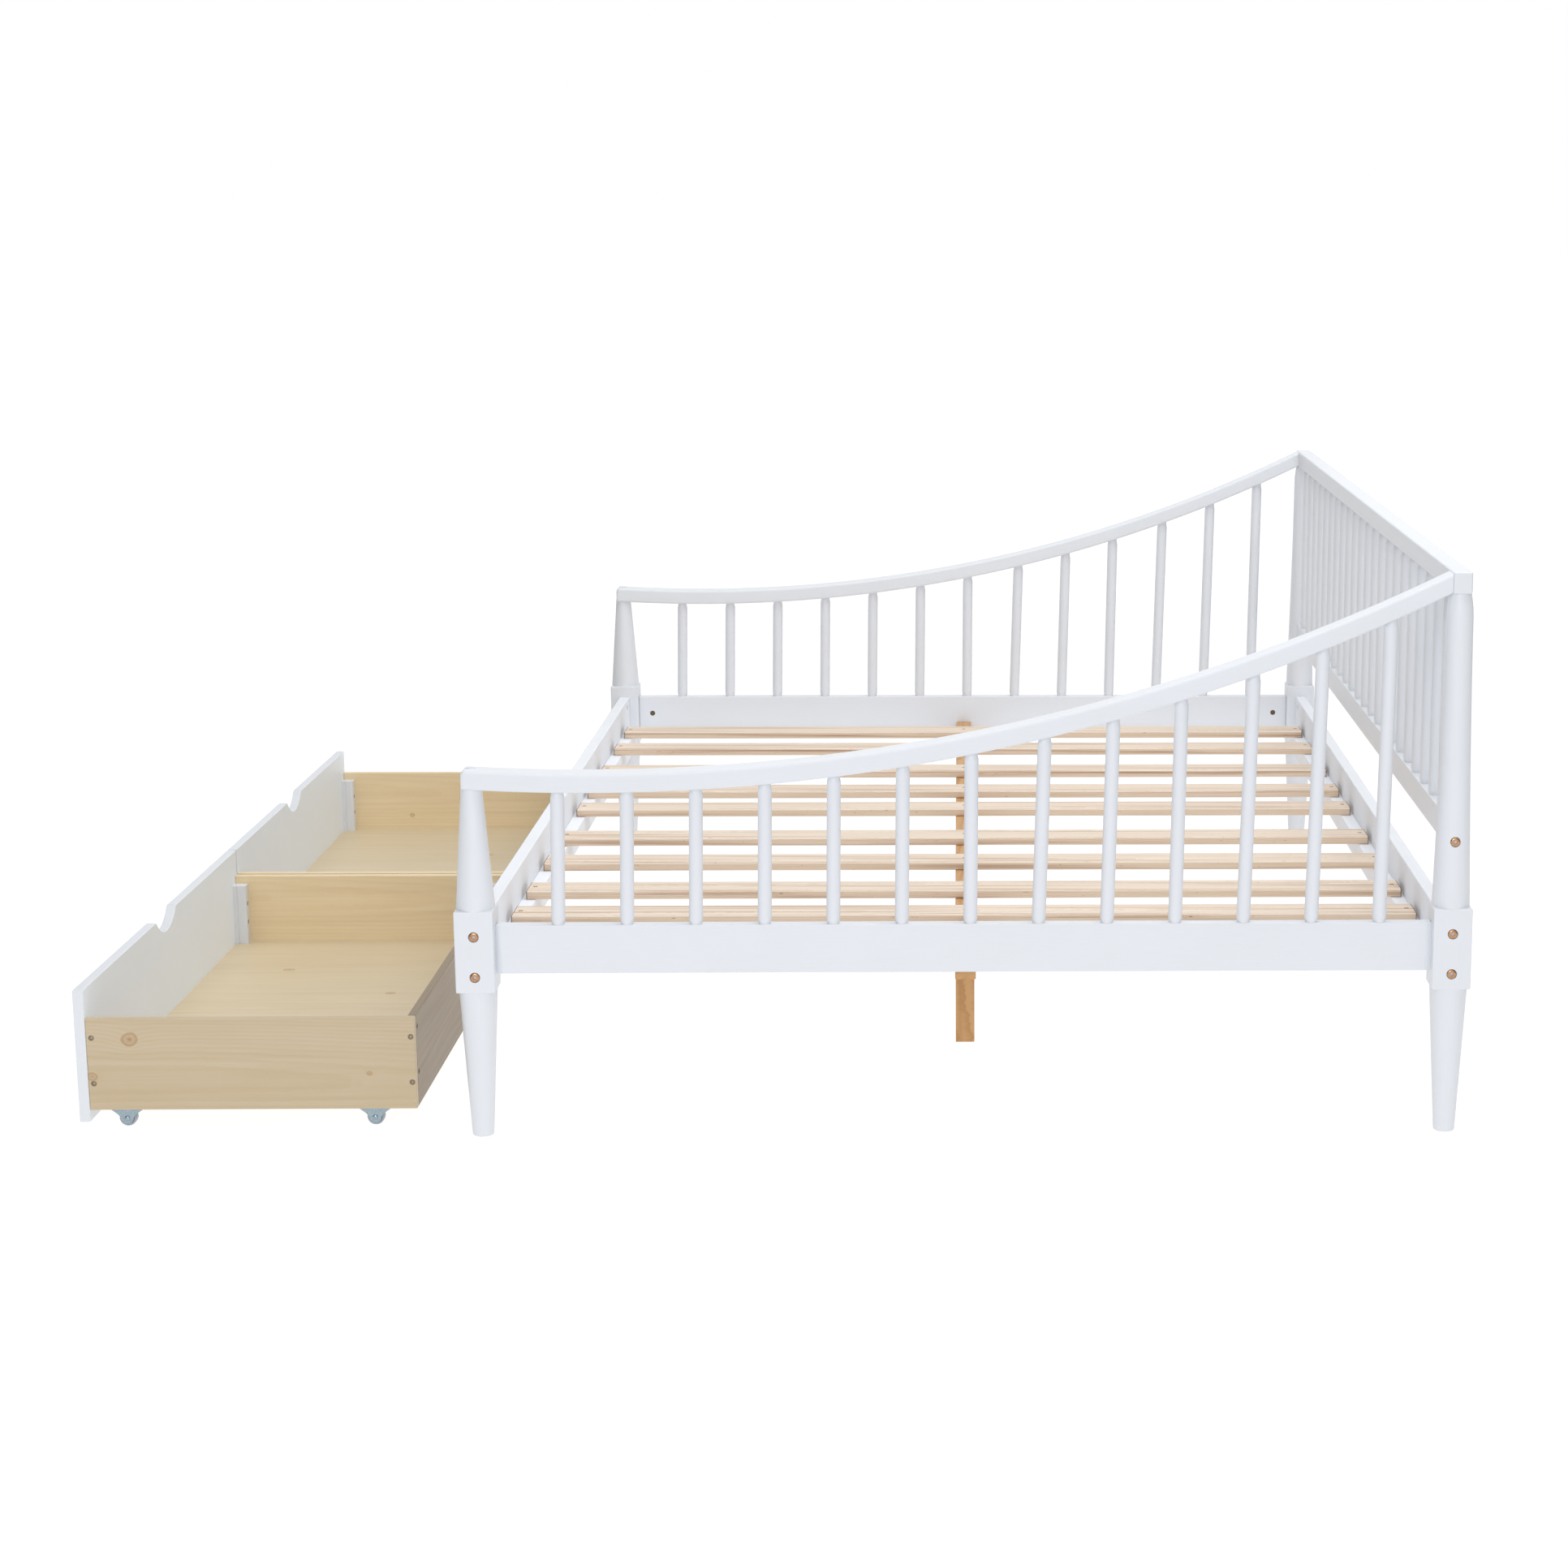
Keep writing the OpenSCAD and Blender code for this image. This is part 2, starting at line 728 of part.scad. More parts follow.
module drawer_floor_blank() {
    board([in_x0 - groove, front_in_y - groove, floor_z0],
        [in_x1 + groove, back_in_y + groove, floor_z1]);
}

module drawer_front() {
    color("white")
        difference() {
            board([0, drawer_y, front_z0], [drawer_l, front_in_y, front_z1]);
            translate([drawer_l / 2, front_in_y + cut, front_z1 + notch_r - notch_depth])
                rotate([90, 0, 0])
                    cylinder(r = notch_r, h = front_t + 2 * cut, $fn = 180);
            drawer_floor_blank();
            box_screw_holes();
        }
}

module drawer_side(x) {
    color("wheat")
        difference() {
            board([x, front_in_y, box_z0], [x + box_t, back_out_y, box_z1]);
            drawer_floor_blank();
            box_screw_holes();
            caster_screw_holes();
        }
}

module drawer_back() {
    color("wheat")
        difference() {
            board([in_x0, back_in_y, box_z0], [in_x1, back_out_y, box_z1]);
            drawer_floor_blank();
            box_screw_holes();
        }
}

module drawer_floor() {
    color("wheat")
        drawer_floor_blank();
}

// Corner block: a square stick with one rounded edge
module corner_block() {
    r = 4;
    linear_extrude(corner_z1 - floor_z1) {
        square([corner_w - r, corner_d]);
        square([corner_w, corner_d - r]);
        translate([corner_w - r, corner_d - r])
            circle(r);
    }
}

module drawer_corner_blocks() {
    color("white")
        difference() {
            for (mx = [0, 1])
                for (my = [0, 1])
                    translate([mx ? in_x1 : in_x0, my ? back_in_y : front_in_y, floor_z1])
                        mirror([mx, 0, 0])
                            mirror([0, my, 0])
                                corner_block();
            box_screw_holes();
        }
}

module drawer_screws() {
    color("dimgray") {
        for (s = box_screws())
            screw(s[0], s[1], drawer_screw);
        for (s = caster_screws())
            screw(s, [0, 0, 1], caster_screw);
    }
}

// Puts its children over each of the four wheels, on the floor
module at_casters() {
    for (x = [caster_x, drawer_l - caster_x])
        for (y = caster_y)
            translate([x, y, 0])
                children();
}

// Start of each caster screw, under the edge of a drawer side
function caster_screws() = [
    for (side = [-1, 1]) for (y = caster_y) for (way = [-1, 1])
        [drawer_l / 2 + side * (drawer_l / 2 - caster_x + plate_screw[0]),
            y + way * plate_screw[1], box_z0 - plate_t]
];

module caster_screw_holes() {
    for (s = caster_screws())
        screw_hole(s, [0, 0, 1], caster_screw);
}

// Fork cheek: a plate that narrows from the mounting plate to a round lobe at the axle
module cheek() {
    rotate([90, 0, 90])
        linear_extrude(cheek_t)
            difference() {
                union() {
                    polygon([[-plate_l / 2, box_z0], [-plate_l / 2, box_z0 - plate_t],
                        [-shoulder_w, wheel_r + 5], [-lobe_r, wheel_r], [lobe_r, wheel_r],
                        [shoulder_w, wheel_r + 5], [plate_l / 2, box_z0 - plate_t], [plate_l / 2, box_z0]]);
                    translate([0, wheel_r])
                        circle(lobe_r);
                }
                translate([0, wheel_r])
                    circle(axle_r);
            }
}

module drawer_caster_brackets() {
    inner = wheel_w / 2 + cheek_gap;
    outer = inner + cheek_t;
    color("silver")
        difference() {
            at_casters() {
                translate([-outer, -plate_l / 2, box_z0 - plate_t])
                    cube([2 * outer, plate_l, plate_t]);
                translate([inner, 0, 0])
                    cheek();
                translate([-outer, 0, 0])
                    cheek();
            }
            caster_screw_holes();
        }
}

// Riveted axle with a domed head at each end
module drawer_caster_axles() {
    half = wheel_w / 2 + cheek_gap + cheek_t;
    head = 4;
    color("silver")
        at_casters()
            translate([0, 0, wheel_r])
                rotate([0, 90, 0])
                    rotate_extrude()
                        polygon([[0, -half - 2], [head * 0.6, -half - 1.7], [head, -half],
                            [axle_r, -half], [axle_r, half], [head, half],
                            [head * 0.6, half + 1.7], [0, half + 2]]);
}

module drawer_wheel(n) {
    edge = 2;
    hub_r = 6;
    web = 1;
    color("lightgray")
        translate([n < 3 ? caster_x : drawer_l - caster_x, caster_y[(n - 1) % 2], wheel_r])
            rotate([0, 90, 0])
                rotate_extrude($fn = 64)
                    polygon([[wheel_bore_r, -wheel_w / 2], [hub_r, -wheel_w / 2],
                        [hub_r + 1, -wheel_w / 2 + web], [wheel_r - 3, -wheel_w / 2 + web],
                        [wheel_r - 2.2, -wheel_w / 2], [wheel_r - edge / 2, -wheel_w / 2 + edge / 4],
                        [wheel_r, -wheel_w / 2 + edge], [wheel_r, wheel_w / 2 - edge],
                        [wheel_r - edge / 2, wheel_w / 2 - edge / 4], [wheel_r - 2.2, wheel_w / 2],
                        [wheel_r - 3, wheel_w / 2 - web], [hub_r + 1, wheel_w / 2 - web],
                        [hub_r, wheel_w / 2], [wheel_bore_r, wheel_w / 2]]);
}

// ---------- the assembly ----------

for (e = [0, 1]) {
    front_post(end_sign[e]);
    back_post(end_sign[e]);
    end_top_rail(end_sign[e]);
    end_rail(end_sign[e]);
    end_spindles(end_sign[e]);
}
back_top_rail();
back_lower_rail();
back_spindles();
side_rail(-1);  // front_side_rail
side_rail(1);  // back_side_rail
ledger(-1);  // front_ledger
ledger(1);  // back_ledger
for (i = [1:len(slat_x)]) {
    slat(i);
}
slat_screws();
centre_beam();
centre_legs();
frame_bolts();
barrel_nuts();
wood_dowels();
rail_plugs();
frame_screws();
for (d = [0, 1])
    translate([drawer_x0[d], 0, 0]) {
        name = str(drawers[d], "_drawer_");
        drawer_front();
        drawer_side(in_x1);
        drawer_side(side_recess);
        drawer_back();
        drawer_floor();
        drawer_corner_blocks();
        drawer_screws();
        drawer_caster_brackets();
        drawer_caster_axles();
        for (w = [1:4]) {
            drawer_wheel(w);
        }
    }
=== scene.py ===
"""Looks for the wooden daybed: every visible CAD node is replaced by a detailed piece or given its finish."""

import math

import bmesh
import bpy
from mathutils import Matrix, Vector


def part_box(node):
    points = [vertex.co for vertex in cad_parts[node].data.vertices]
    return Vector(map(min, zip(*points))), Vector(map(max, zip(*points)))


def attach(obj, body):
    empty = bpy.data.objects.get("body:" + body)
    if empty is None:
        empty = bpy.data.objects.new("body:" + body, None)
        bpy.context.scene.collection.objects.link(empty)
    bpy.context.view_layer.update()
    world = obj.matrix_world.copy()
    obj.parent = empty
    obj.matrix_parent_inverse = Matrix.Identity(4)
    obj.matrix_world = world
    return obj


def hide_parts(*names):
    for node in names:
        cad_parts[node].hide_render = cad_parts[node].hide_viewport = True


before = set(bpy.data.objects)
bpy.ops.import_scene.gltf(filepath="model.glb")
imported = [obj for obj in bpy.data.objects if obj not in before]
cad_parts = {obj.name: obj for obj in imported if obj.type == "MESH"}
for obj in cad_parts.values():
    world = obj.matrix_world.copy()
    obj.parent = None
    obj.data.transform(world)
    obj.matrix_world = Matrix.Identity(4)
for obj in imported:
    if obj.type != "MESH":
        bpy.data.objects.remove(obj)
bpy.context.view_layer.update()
scene = bpy.context.scene

MM = 0.001
BED = "bed"
ENDS = {"right": 1, "left": -1}
DRAWERS = ("right", "left")

# Posts
BLOCK_BOTTOM = 219 * MM
BLOCK_TOP = 339 * MM
BLOCK_HALF = 28 * MM
FOOT_R = 15.5 * MM
SHAFT_R = 27.5 * MM
FRONT_TOP_R = 15 * MM
BACK_TOP_R = 19.2 * MM
BACK_TAPER_POWER = 1.6
BACK_TAPER_END = 34 * MM
# Radius, and how far below the post's top
BACK_NECK = ((18.6 * MM, 22 * MM), (17.4 * MM, 12 * MM), (15.5 * MM, 0))

# Curved top rails: two arcs one rail height apart
ARC_R = 2785 * MM
ARC_Y = -540 * MM
ARC_Z = 509.5 * MM
RAIL_H = 28 * MM

# Spindles
SPINDLE_END_R = 8.7 * MM
SPINDLE_MID_R = 10 * MM
SPINDLE_SWELL = 8 * MM
SOCKET = 6 * MM
END_LEAN_DEG = (1.1, 1.1, 1, 0.9, 0.8, 0.7, 0.5, 1.7, 1.4, 1, 1.5, 1.3, 0.9)
END_PITCH = 98.5 * MM
END_ROW_Y = 7 * MM
BACK_SPINDLES = 22

# Fasteners
BOLT_HEAD_R = 7 * MM
SIDE_BOLT_Z = (302 * MM, 242.5 * MM)
END_BOLT_Z = 280 * MM
LOWER_BOLT_Z = 437 * MM
LOWER_NUT_X = 914 * MM
SIDE_NUT_X = 894 * MM
HEAD_SUNK = 2 * MM
BOLT_HOLE_R = 7.6 * MM
LOWER_BOLT_SEAT = 22.5 * MM
PLUG_R = 7 * MM
PLUG_HOLE_R = 7.4 * MM
NUT_R = 5 * MM
NUT_HOLE_R = 5.3 * MM
NUT_SUNK = 0.7 * MM
NUT_INSET = 27.5 * MM
CHAMFER_W = 9 * MM
CHAMFER_D = 2.5 * MM

# Slats
SLAT_COUNT = 9
SLAT_SCREW_Y = (-674 * MM, 0, 675 * MM)

# Drawers
NOTCH_L = 118 * MM
NOTCH_D = 27 * MM
SIDE_SCREW_Z = (136 * MM, 67 * MM)
BACK_SCREW_Z = (146 * MM, 77 * MM)
FRONT_SCREW_Z = (118 * MM, 85 * MM)
WHEEL_R = 12.5 * MM
STICK_W = 20 * MM
STICK_D = 22 * MM
WHEEL_HALF_W = 6.5 * MM
WHEEL_BORE_R = 2.55 * MM
HUB_R = 6 * MM
FORK_HALF_W = 9 * MM
FORK_HALF_L = 23 * MM
RIVET_R = 4 * MM
RIVET_DOME = 2 * MM

# Turns an outline's (x, y) into the object's (y, z)
UPRIGHT = Matrix(((0, 0, 1, 0), (1, 0, 0, 0), (0, 1, 0, 0), (0, 0, 0, 1)))
# Turns a lathe's axis along X
ALONG_X = Matrix.Rotation(math.pi / 2, 4, "Y")


# ---------- places ----------

def low(node):
    """Lower corner of a node's CAD box."""
    return Vector(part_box(node)[0])


def high(node):
    """Upper corner of a node's CAD box."""
    return Vector(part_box(node)[1])


def middle(node):
    """Middle of a node's CAD box."""
    return (low(node) + high(node)) / 2


def under_z(y):
    """Height of a curved top rail's underside."""
    return ARC_Z + ARC_R - math.sqrt(ARC_R ** 2 - (y - ARC_Y) ** 2)


# ---------- materials ----------

class Graph:
    """A material's node tree, built one node at a time."""

    def __init__(self, name):
        self.material = bpy.data.materials.new(name)
        self.material.use_nodes = True
        self.tree = self.material.node_tree
        self.tree.nodes.clear()

    def node(self, kind, inputs=None, **settings):
        made = self.tree.nodes.new("ShaderNode" + kind)
        for key, value in settings.items():
            setattr(made, key, value)
        for key, value in (inputs or {}).items():
            self.feed(made.inputs[key], value)
        return made

    def feed(self, socket, value):
        if isinstance(value, bpy.types.NodeSocket):
            self.tree.links.new(value, socket)
        elif socket.type == "RGBA" and len(value) == 3:
            socket.default_value = (*value, 1)
        else:
            socket.default_value = value

    def math(self, operation, a, b=0.0, c=0.0, clamp=False):
        made = self.node("Math", {0: a, 1: b}, operation=operation, use_clamp=clamp)
        if operation in ("MULTIPLY_ADD", "SMOOTH_MIN"):
            self.feed(made.inputs[2], c)
        return made.outputs[0]

    def span(self, value, from_low, from_high, to_low=0.0, to_high=1.0):
        """Smooth step from one range to another."""
        made = self.node("MapRange", {0: value, 1: from_low, 2: from_high, 3: to_low, 4: to_high},
                         interpolation_type="SMOOTHSTEP")
        return made.outputs[0]

    def mix(self, factor, a, b, blend="MIX"):
        made = self.node("Mix", data_type="RGBA", blend_type=blend)
        self.feed(made.inputs[0], factor)
        self.feed(made.inputs[6], a)
        self.feed(made.inputs[7], b)
        return made.outputs[2]

    def vector(self, x, y, z):
        return self.node("CombineXYZ", {0: x, 1: y, 2: z}).outputs[0]

    def split(self, vector):
        made = self.node("SeparateXYZ", {0: vector})
        return made.outputs[0], made.outputs[1], made.outputs[2]

    def noise(self, vector, scale, detail=3.0, rough=0.55, distortion=0.0):
        made = self.node("TexNoise", {"Vector": vector, "Scale": scale, "Detail": detail,
                                      "Roughness": rough, "Distortion": distortion})
        return made.outputs["Fac"]

    def grain(self):
        """The board's own coordinates (along, across, through), its seed and its half length."""
        along, across, through = self.split(self.node("Attribute", attribute_name="grain").outputs["Vector"])
        seed, half, _ = self.split(self.node("Attribute", attribute_name="board").outputs["Vector"])
        return along, across, through, seed, half

    def finish(self, colour, rough, height=None, bump=0.1, distance=0.001, **fixed):
        shader = self.node("BsdfPrincipled", {"Base Color": colour, "Roughness": rough, **fixed})
        if height is not None:
            made = self.node("Bump", {"Height": height, "Strength": bump, "Distance": distance})
            self.tree.links.new(made.outputs[0], shader.inputs["Normal"])
        out = self.node("OutputMaterial")
        self.tree.links.new(shader.outputs[0], out.inputs[0])
        return self.material


def white_paint(name, tone=(0.735, 0.76, 0.805), shade=(0.655, 0.675, 0.7), mottle=0.12, rough=0.3,
                shine=0.5):
    """Sprayed satin paint: fine orange peel, the wood's grain showing faintly, and a few grey scuffs."""
    g = Graph(name)
    along, across, through, seed, _ = g.grain()
    shifted = g.math("ADD", along, seed)
    point = g.vector(shifted, across, through)
    stretched = g.vector(g.math("MULTIPLY", shifted, 0.06), across, through)
    cloud = g.span(g.noise(point, 9.0, 4.0), 0.35, 0.75)
    ripple = g.noise(stretched, 420.0, 2.0)
    peel = g.noise(point, 500.0, 1.0)
    smear = g.vector(g.math("MULTIPLY", shifted, 0.5), across, through)
    scuff = g.span(g.noise(smear, 55.0, 5.0, 0.7), 0.72, 0.8)
    colour = g.mix(g.math("MULTIPLY", cloud, mottle), tone, shade)
    colour = g.mix(g.math("MULTIPLY", g.span(ripple, 0.4, 0.7), 0.1), colour, shade)
    colour = g.mix(g.math("MULTIPLY", scuff, 0.14), colour, (0.45, 0.46, 0.48))
    gloss = g.math("MULTIPLY_ADD", g.noise(point, 60.0), 0.12, rough)
    height = g.math("MULTIPLY_ADD", ripple, 0.5, g.math("MULTIPLY", peel, 0.5))
    return g.finish(colour, gloss, height, 0.05, 0.0002, **{"Specular IOR Level": shine})


def wood(name, pale, mid, dark, ring=0.0045, ring_show=0.5, streak_show=0.3, streak_scale=75.0, pith=0.07,
         tilt=0.02, knots=(), knot=(0.36, 0.18, 0.06), flecks=0.0, end_gap_shade=0.0, rough=0.5, cloudy=0.35,
         wave=0.006, vary=0.0):
    """Sawn softwood. Growth rings are shells round a slightly tilted pith line, so flat faces show
    long arches; knots, each (along, across, radius) in the board's own metres, push the rings aside."""
    g = Graph(name)
    along, across, through, seed, half = g.grain()
    moved = g.math("MULTIPLY_ADD", seed, 1.7, along)
    slow = g.noise(g.vector(g.math("MULTIPLY", moved, 1.6), g.math("MULTIPLY", across, 6.0), seed), 1.0, 2.0)
    pith_side = g.math("MULTIPLY", g.math("SINE", g.math("MULTIPLY", seed, 9.0)), 0.03)
    side = g.math("ADD", g.math("MULTIPLY_ADD", along, tilt, across), pith_side)
    depth = g.math("ADD", g.math("MULTIPLY_ADD", along, tilt * 0.6, through), pith)
    radius = g.math("SQRT", g.math("ADD", g.math("POWER", side, 2.0), g.math("POWER", depth, 2.0)))
    radius = g.math("MULTIPLY_ADD", slow, wave * 3, radius)
    ripple = g.noise(g.vector(g.math("MULTIPLY", moved, 8.0), across, through), 9.0, 2.0)
    radius = g.math("MULTIPLY_ADD", ripple, wave * 0.5, radius)
    knot_mask = None
    knot_core = None
    for place, off, size in knots:
        du = g.math("MULTIPLY", g.math("SUBTRACT", along, place), 0.8)
        dv = g.math("SUBTRACT", across, off)
        away = g.math("SQRT", g.math("ADD", g.math("POWER", du, 2.0), g.math("POWER", dv, 2.0)))
        uneven = g.math("SUBTRACT", g.noise(g.vector(along, across, through), 45.0), 0.5)
        away = g.math("MULTIPLY_ADD", uneven, size * 0.7, away)
        reach = g.math("POWER", g.math("DIVIDE", away, size * 1.6), 2.0)
        push = g.math("DIVIDE", size * 1.1, g.math("MULTIPLY_ADD", reach, 1.0, 1.0))
        radius = g.math("ADD", radius, push)
        near = g.span(away, size * 1.08, size * 0.75)
        rings = g.math("SINE", g.math("MULTIPLY", away, 4200.0))
        core = g.math("MULTIPLY", near, g.math("MULTIPLY_ADD", rings, 0.15, 0.3))
        rim = g.math("MULTIPLY", g.span(away, size * 1.25, size * 1.0), g.span(away, size * 0.7, size * 0.95))
        core = g.math("ADD", core, g.math("MULTIPLY", rim, 0.45), clamp=True)
        core = g.math("ADD", core, g.math("MULTIPLY", g.span(away, size * 0.4, size * 0.1), 0.35), clamp=True)
        knot_mask = near if knot_mask is None else g.math("MAXIMUM", knot_mask, near)
        knot_core = core if knot_core is None else g.math("MAXIMUM", knot_core, core)
    phase = g.math("FRACT", g.math("DIVIDE", radius, ring))
    late = g.math("MULTIPLY", g.span(phase, 0.25, 0.85), g.span(phase, 1.0, 0.9))
    fine = g.vector(g.math("MULTIPLY", moved, 5.0), g.math("MULTIPLY", across, 260.0),
                    g.math("MULTIPLY", through, 260.0))
    fibre = g.noise(fine, 1.0, 4.0, 0.65)
    streak = g.noise(g.vector(g.math("MULTIPLY", moved, 1.8), g.math("MULTIPLY", across, streak_scale),
                              g.math("MULTIPLY", through, streak_scale)), 1.0, 3.0, 0.5)
    pores = g.span(g.noise(g.vector(g.math("MULTIPLY", moved, 30.0), g.math("MULTIPLY", across, 900.0),
                                    g.math("MULTIPLY", through, 900.0)), 1.0, 2.0), 0.62, 0.75)
    cloud = g.noise(g.vector(g.math("MULTIPLY", moved, 3.0), g.math("MULTIPLY", across, 9.0), through),
                    1.0, 3.0)
    colour = g.mix(g.math("MULTIPLY", late, ring_show), pale, mid)
    colour = g.mix(g.math("MULTIPLY", g.span(streak, 0.48, 0.74), streak_show), colour, dark)
    colour = g.mix(g.math("MULTIPLY", g.span(fibre, 0.35, 0.75), 0.28), colour, mid)
    colour = g.mix(g.math("MULTIPLY", pores, 0.12), colour, dark)
    colour = g.mix(g.math("MULTIPLY", g.span(cloud, 0.35, 0.7), cloudy), colour, mid)
    if vary:
        other = g.math("MULTIPLY_ADD", g.math("SINE", g.math("MULTIPLY", seed, 17.0)), vary * 0.5, vary * 0.5)
        colour = g.mix(other, colour, mid)
    if flecks:
        fleck = g.noise(g.vector(g.math("MULTIPLY", moved, 55.0), g.math("MULTIPLY", across, 420.0),
                                 g.math("MULTIPLY", through, 420.0)), 1.0, 2.0)
        colour = g.mix(g.math("MULTIPLY", g.span(fleck, 0.71, 0.76), flecks), colour, dark)
    if knots:
        colour = g.mix(knot_core, colour, knot)
    # Painted shadow: a dark band along each end of the board stands in for the shade in the gap against the
    # rail.
    if end_gap_shade:
        to_end = g.math("SUBTRACT", half, g.math("ABSOLUTE", along))
        band = g.math("MULTIPLY", g.span(to_end, end_gap_shade, end_gap_shade * 0.5),
                      g.span(to_end, 0.00005, 0.0002))
        colour = g.mix(g.math("MULTIPLY", band, 0.9), colour, (0.04, 0.02, 0.012))
    shine = g.math("MULTIPLY_ADD", fibre, 0.2, rough - 0.1)
    height = g.math("MULTIPLY_ADD", fibre, 0.6, g.math("MULTIPLY", late, 0.4))
    return g.finish(colour, shine, height, 0.2, 0.0003, **{"Specular IOR Level": 0.35})


def metal(name, colour, patch, rough, scale=400.0):
    """Plated metal with fine clouding and a little tarnish."""
    g = Graph(name)
    point = g.node("TexCoord").outputs["Object"]
    cloud = g.noise(point, scale, 4.0)
    spangle = g.node("TexVoronoi", {"Vector": point, "Scale": scale * 0.8}).outputs["Distance"]
    tint = g.mix(g.span(cloud, 0.4, 0.7), colour, patch)
    shine = g.math("MULTIPLY_ADD", spangle, 0.12, rough)
    return g.finish(tint, shine, cloud, 0.15, 0.0002, Metallic=1.0)


def nylon(name):
    """Moulded grey-white nylon with faint mould texture and dust."""
    g = Graph(name)
    point = g.node("TexCoord").outputs["Object"]
    dust = g.span(g.noise(point, 300.0, 5.0), 0.45, 0.75)
    colour = g.mix(g.math("MULTIPLY", dust, 0.35), (0.34, 0.37, 0.42), (0.22, 0.24, 0.27))
    return g.finish(colour, g.math("MULTIPLY_ADD", dust, 0.25, 0.3), g.noise(point, 1500.0), 0.1, 0.0002,
                    **{"Specular IOR Level": 0.5})


PAINT = white_paint("satin_white_paint")
# Painted light: a brighter, bluer copy of the white paint for the drawer fronts' inner faces.
LIT_PAINT = white_paint("white_paint_painted_light", (0.87, 0.93, 0.99), (0.8, 0.85, 0.92), 0.15, 0.4, 0.3)
# Thinner, more mottled coat for the side rails and ledgers, also made brighter and bluer than the main paint
# as painted light for their shaded inner faces.
INNER_PAINT = white_paint("thin_white_paint_painted_light", (0.84, 0.865, 0.91), (0.76, 0.77, 0.8), 0.2, 0.62, 0.15)
# The slats' dark end bands are painted shadow for the gap at each end.
SLAT_LOOK = dict(ring=0.0026, ring_show=0.45, streak_show=0.85, streak_scale=120.0, flecks=0.9,
                 end_gap_shade=0.0016, tilt=0.012,
                 rough=0.6, cloudy=0.2, vary=0.25)
SLAT = wood("pale_slat_wood", (0.76, 0.63, 0.5), (0.52, 0.36, 0.24), (0.26, 0.13, 0.07), **SLAT_LOOK)
# Painted light: the slats' top faces get this paler copy of the slat wood.
LIT_SLAT_TOP = wood("slat_top_painted_light", (0.84, 0.735, 0.62), (0.68, 0.54, 0.42), (0.42, 0.26, 0.16), **SLAT_LOOK)
FIGURE = dict(dark=(0.4, 0.25, 0.11), ring=0.0042, ring_show=0.32, streak_show=0.12, tilt=0.018, rough=0.42,
              wave=0.003, cloudy=0.3)
PINE = dict(pale=(0.575, 0.475, 0.335), mid=(0.5, 0.385, 0.23), **FIGURE)
WALL = dict(pale=(0.81, 0.67, 0.45), mid=(0.72, 0.56, 0.33), **FIGURE)
SHEET = dict(pale=(0.67, 0.57, 0.4), mid=(0.58, 0.46, 0.29), **FIGURE)
DRAWER_PINE = wood("drawer_pine", **WALL)
# Painted shade: a darker copy of the pine for the drawers' back boards, whose outer face is turned to the
# bed.
BACK_PINE = wood("shaded_pine", (0.28, 0.21, 0.14), (0.22, 0.16, 0.09), **FIGURE)
BEAM_PINE = wood("orange_pine", (0.62, 0.37, 0.17), (0.46, 0.24, 0.09), (0.25, 0.11, 0.035), ring=0.0032,
                 ring_show=0.8, streak_show=0.4, rough=0.5)
BRONZE = metal("bronze_plate", (0.56, 0.33, 0.19), (0.36, 0.19, 0.11), 0.16, 900.0)
NUT_BRONZE = metal("dull_bronze", (0.2, 0.145, 0.085), (0.11, 0.08, 0.05), 0.35, 900.0)
SCREW_STEEL = metal("dark_screw_steel", (0.3, 0.25, 0.19), (0.16, 0.13, 0.1), 0.35)
ZINC = metal("zinc_plate", (0.36, 0.45, 0.5), (0.24, 0.31, 0.36), 0.24, 700.0)
NYLON = nylon("wheel_nylon")


# ---------- mesh building ----------

def box_mesh(lo, hi, bevel=1.5 * MM, segments=3):
    """A board between two corners with all its edges eased."""
    bm = bmesh.new()
    bmesh.ops.create_cube(bm, size=1.0)
    size = hi - lo
    for v in bm.verts:
        v.co = Vector((lo[i] + (v.co[i] + 0.5) * size[i] for i in range(3)))
    bmesh.ops.bevel(bm, geom=bm.edges[:], offset=bevel, segments=segments, profile=0.5, affect="EDGES",
                    clamp_overlap=True)
    return bm


def lathe(bm, profile, segments=48, place=Matrix.Identity(4)):
    """A turned solid: profile is (radius, height) from one end of the axis to the other."""
    rings = []
    for r, z in profile:
        if r < 1e-7:
            rings.append([bm.verts.new(place @ Vector((0, 0, z)))])
            continue
        turn = [2 * math.pi * i / segments for i in range(segments)]
        rings.append([bm.verts.new(place @ Vector((r * math.cos(a), r * math.sin(a), z))) for a in turn])
    for a, b in zip(rings, rings[1:]):
        for i in range(segments):
            j = (i + 1) % segments
            if len(a) == 1:
                bm.faces.new((a[0], b[j], b[i]))
            elif len(b) == 1:
                bm.faces.new((a[i], a[j], b[0]))
            else:
                bm.faces.new((a[i], a[j], b[j], b[i]))
    for ring, last in ((rings[0], False), (rings[-1], True)):
        if len(ring) > 1:
            bm.faces.new(ring if last else ring[::-1])
    return bm


def extrude_outline(bm, outline, place, thickness):
    """A flat outline of (x, y) points made into a plate of that thickness."""
    near = [bm.verts.new(place @ Vector((x, y, 0))) for x, y in outline]
    far = [bm.verts.new(place @ Vector((x, y, thickness))) for x, y in outline]
    bm.faces.new(near[::-1])
    bm.faces.new(far)
    for i in range(len(outline)):
        j = (i + 1) % len(outline)
        bm.faces.new((near[i], near[j], far[j], far[i]))
    return bm


def arc(cx, cy, r, start, end, steps):
    """Points along an arc, in degrees."""
    turn = [math.radians(start + (end - start) * i / steps) for i in range(steps + 1)]
    return [(cx + r * math.cos(a), cy + r * math.sin(a)) for a in turn]


def to_object(name, bm):
    bmesh.ops.recalc_face_normals(bm, faces=bm.faces[:])
    mesh = bpy.data.meshes.new(name)
    bm.to_mesh(mesh)
    bm.free()
    made = bpy.data.objects.new(name, mesh)
    scene.collection.objects.link(made)
    return made


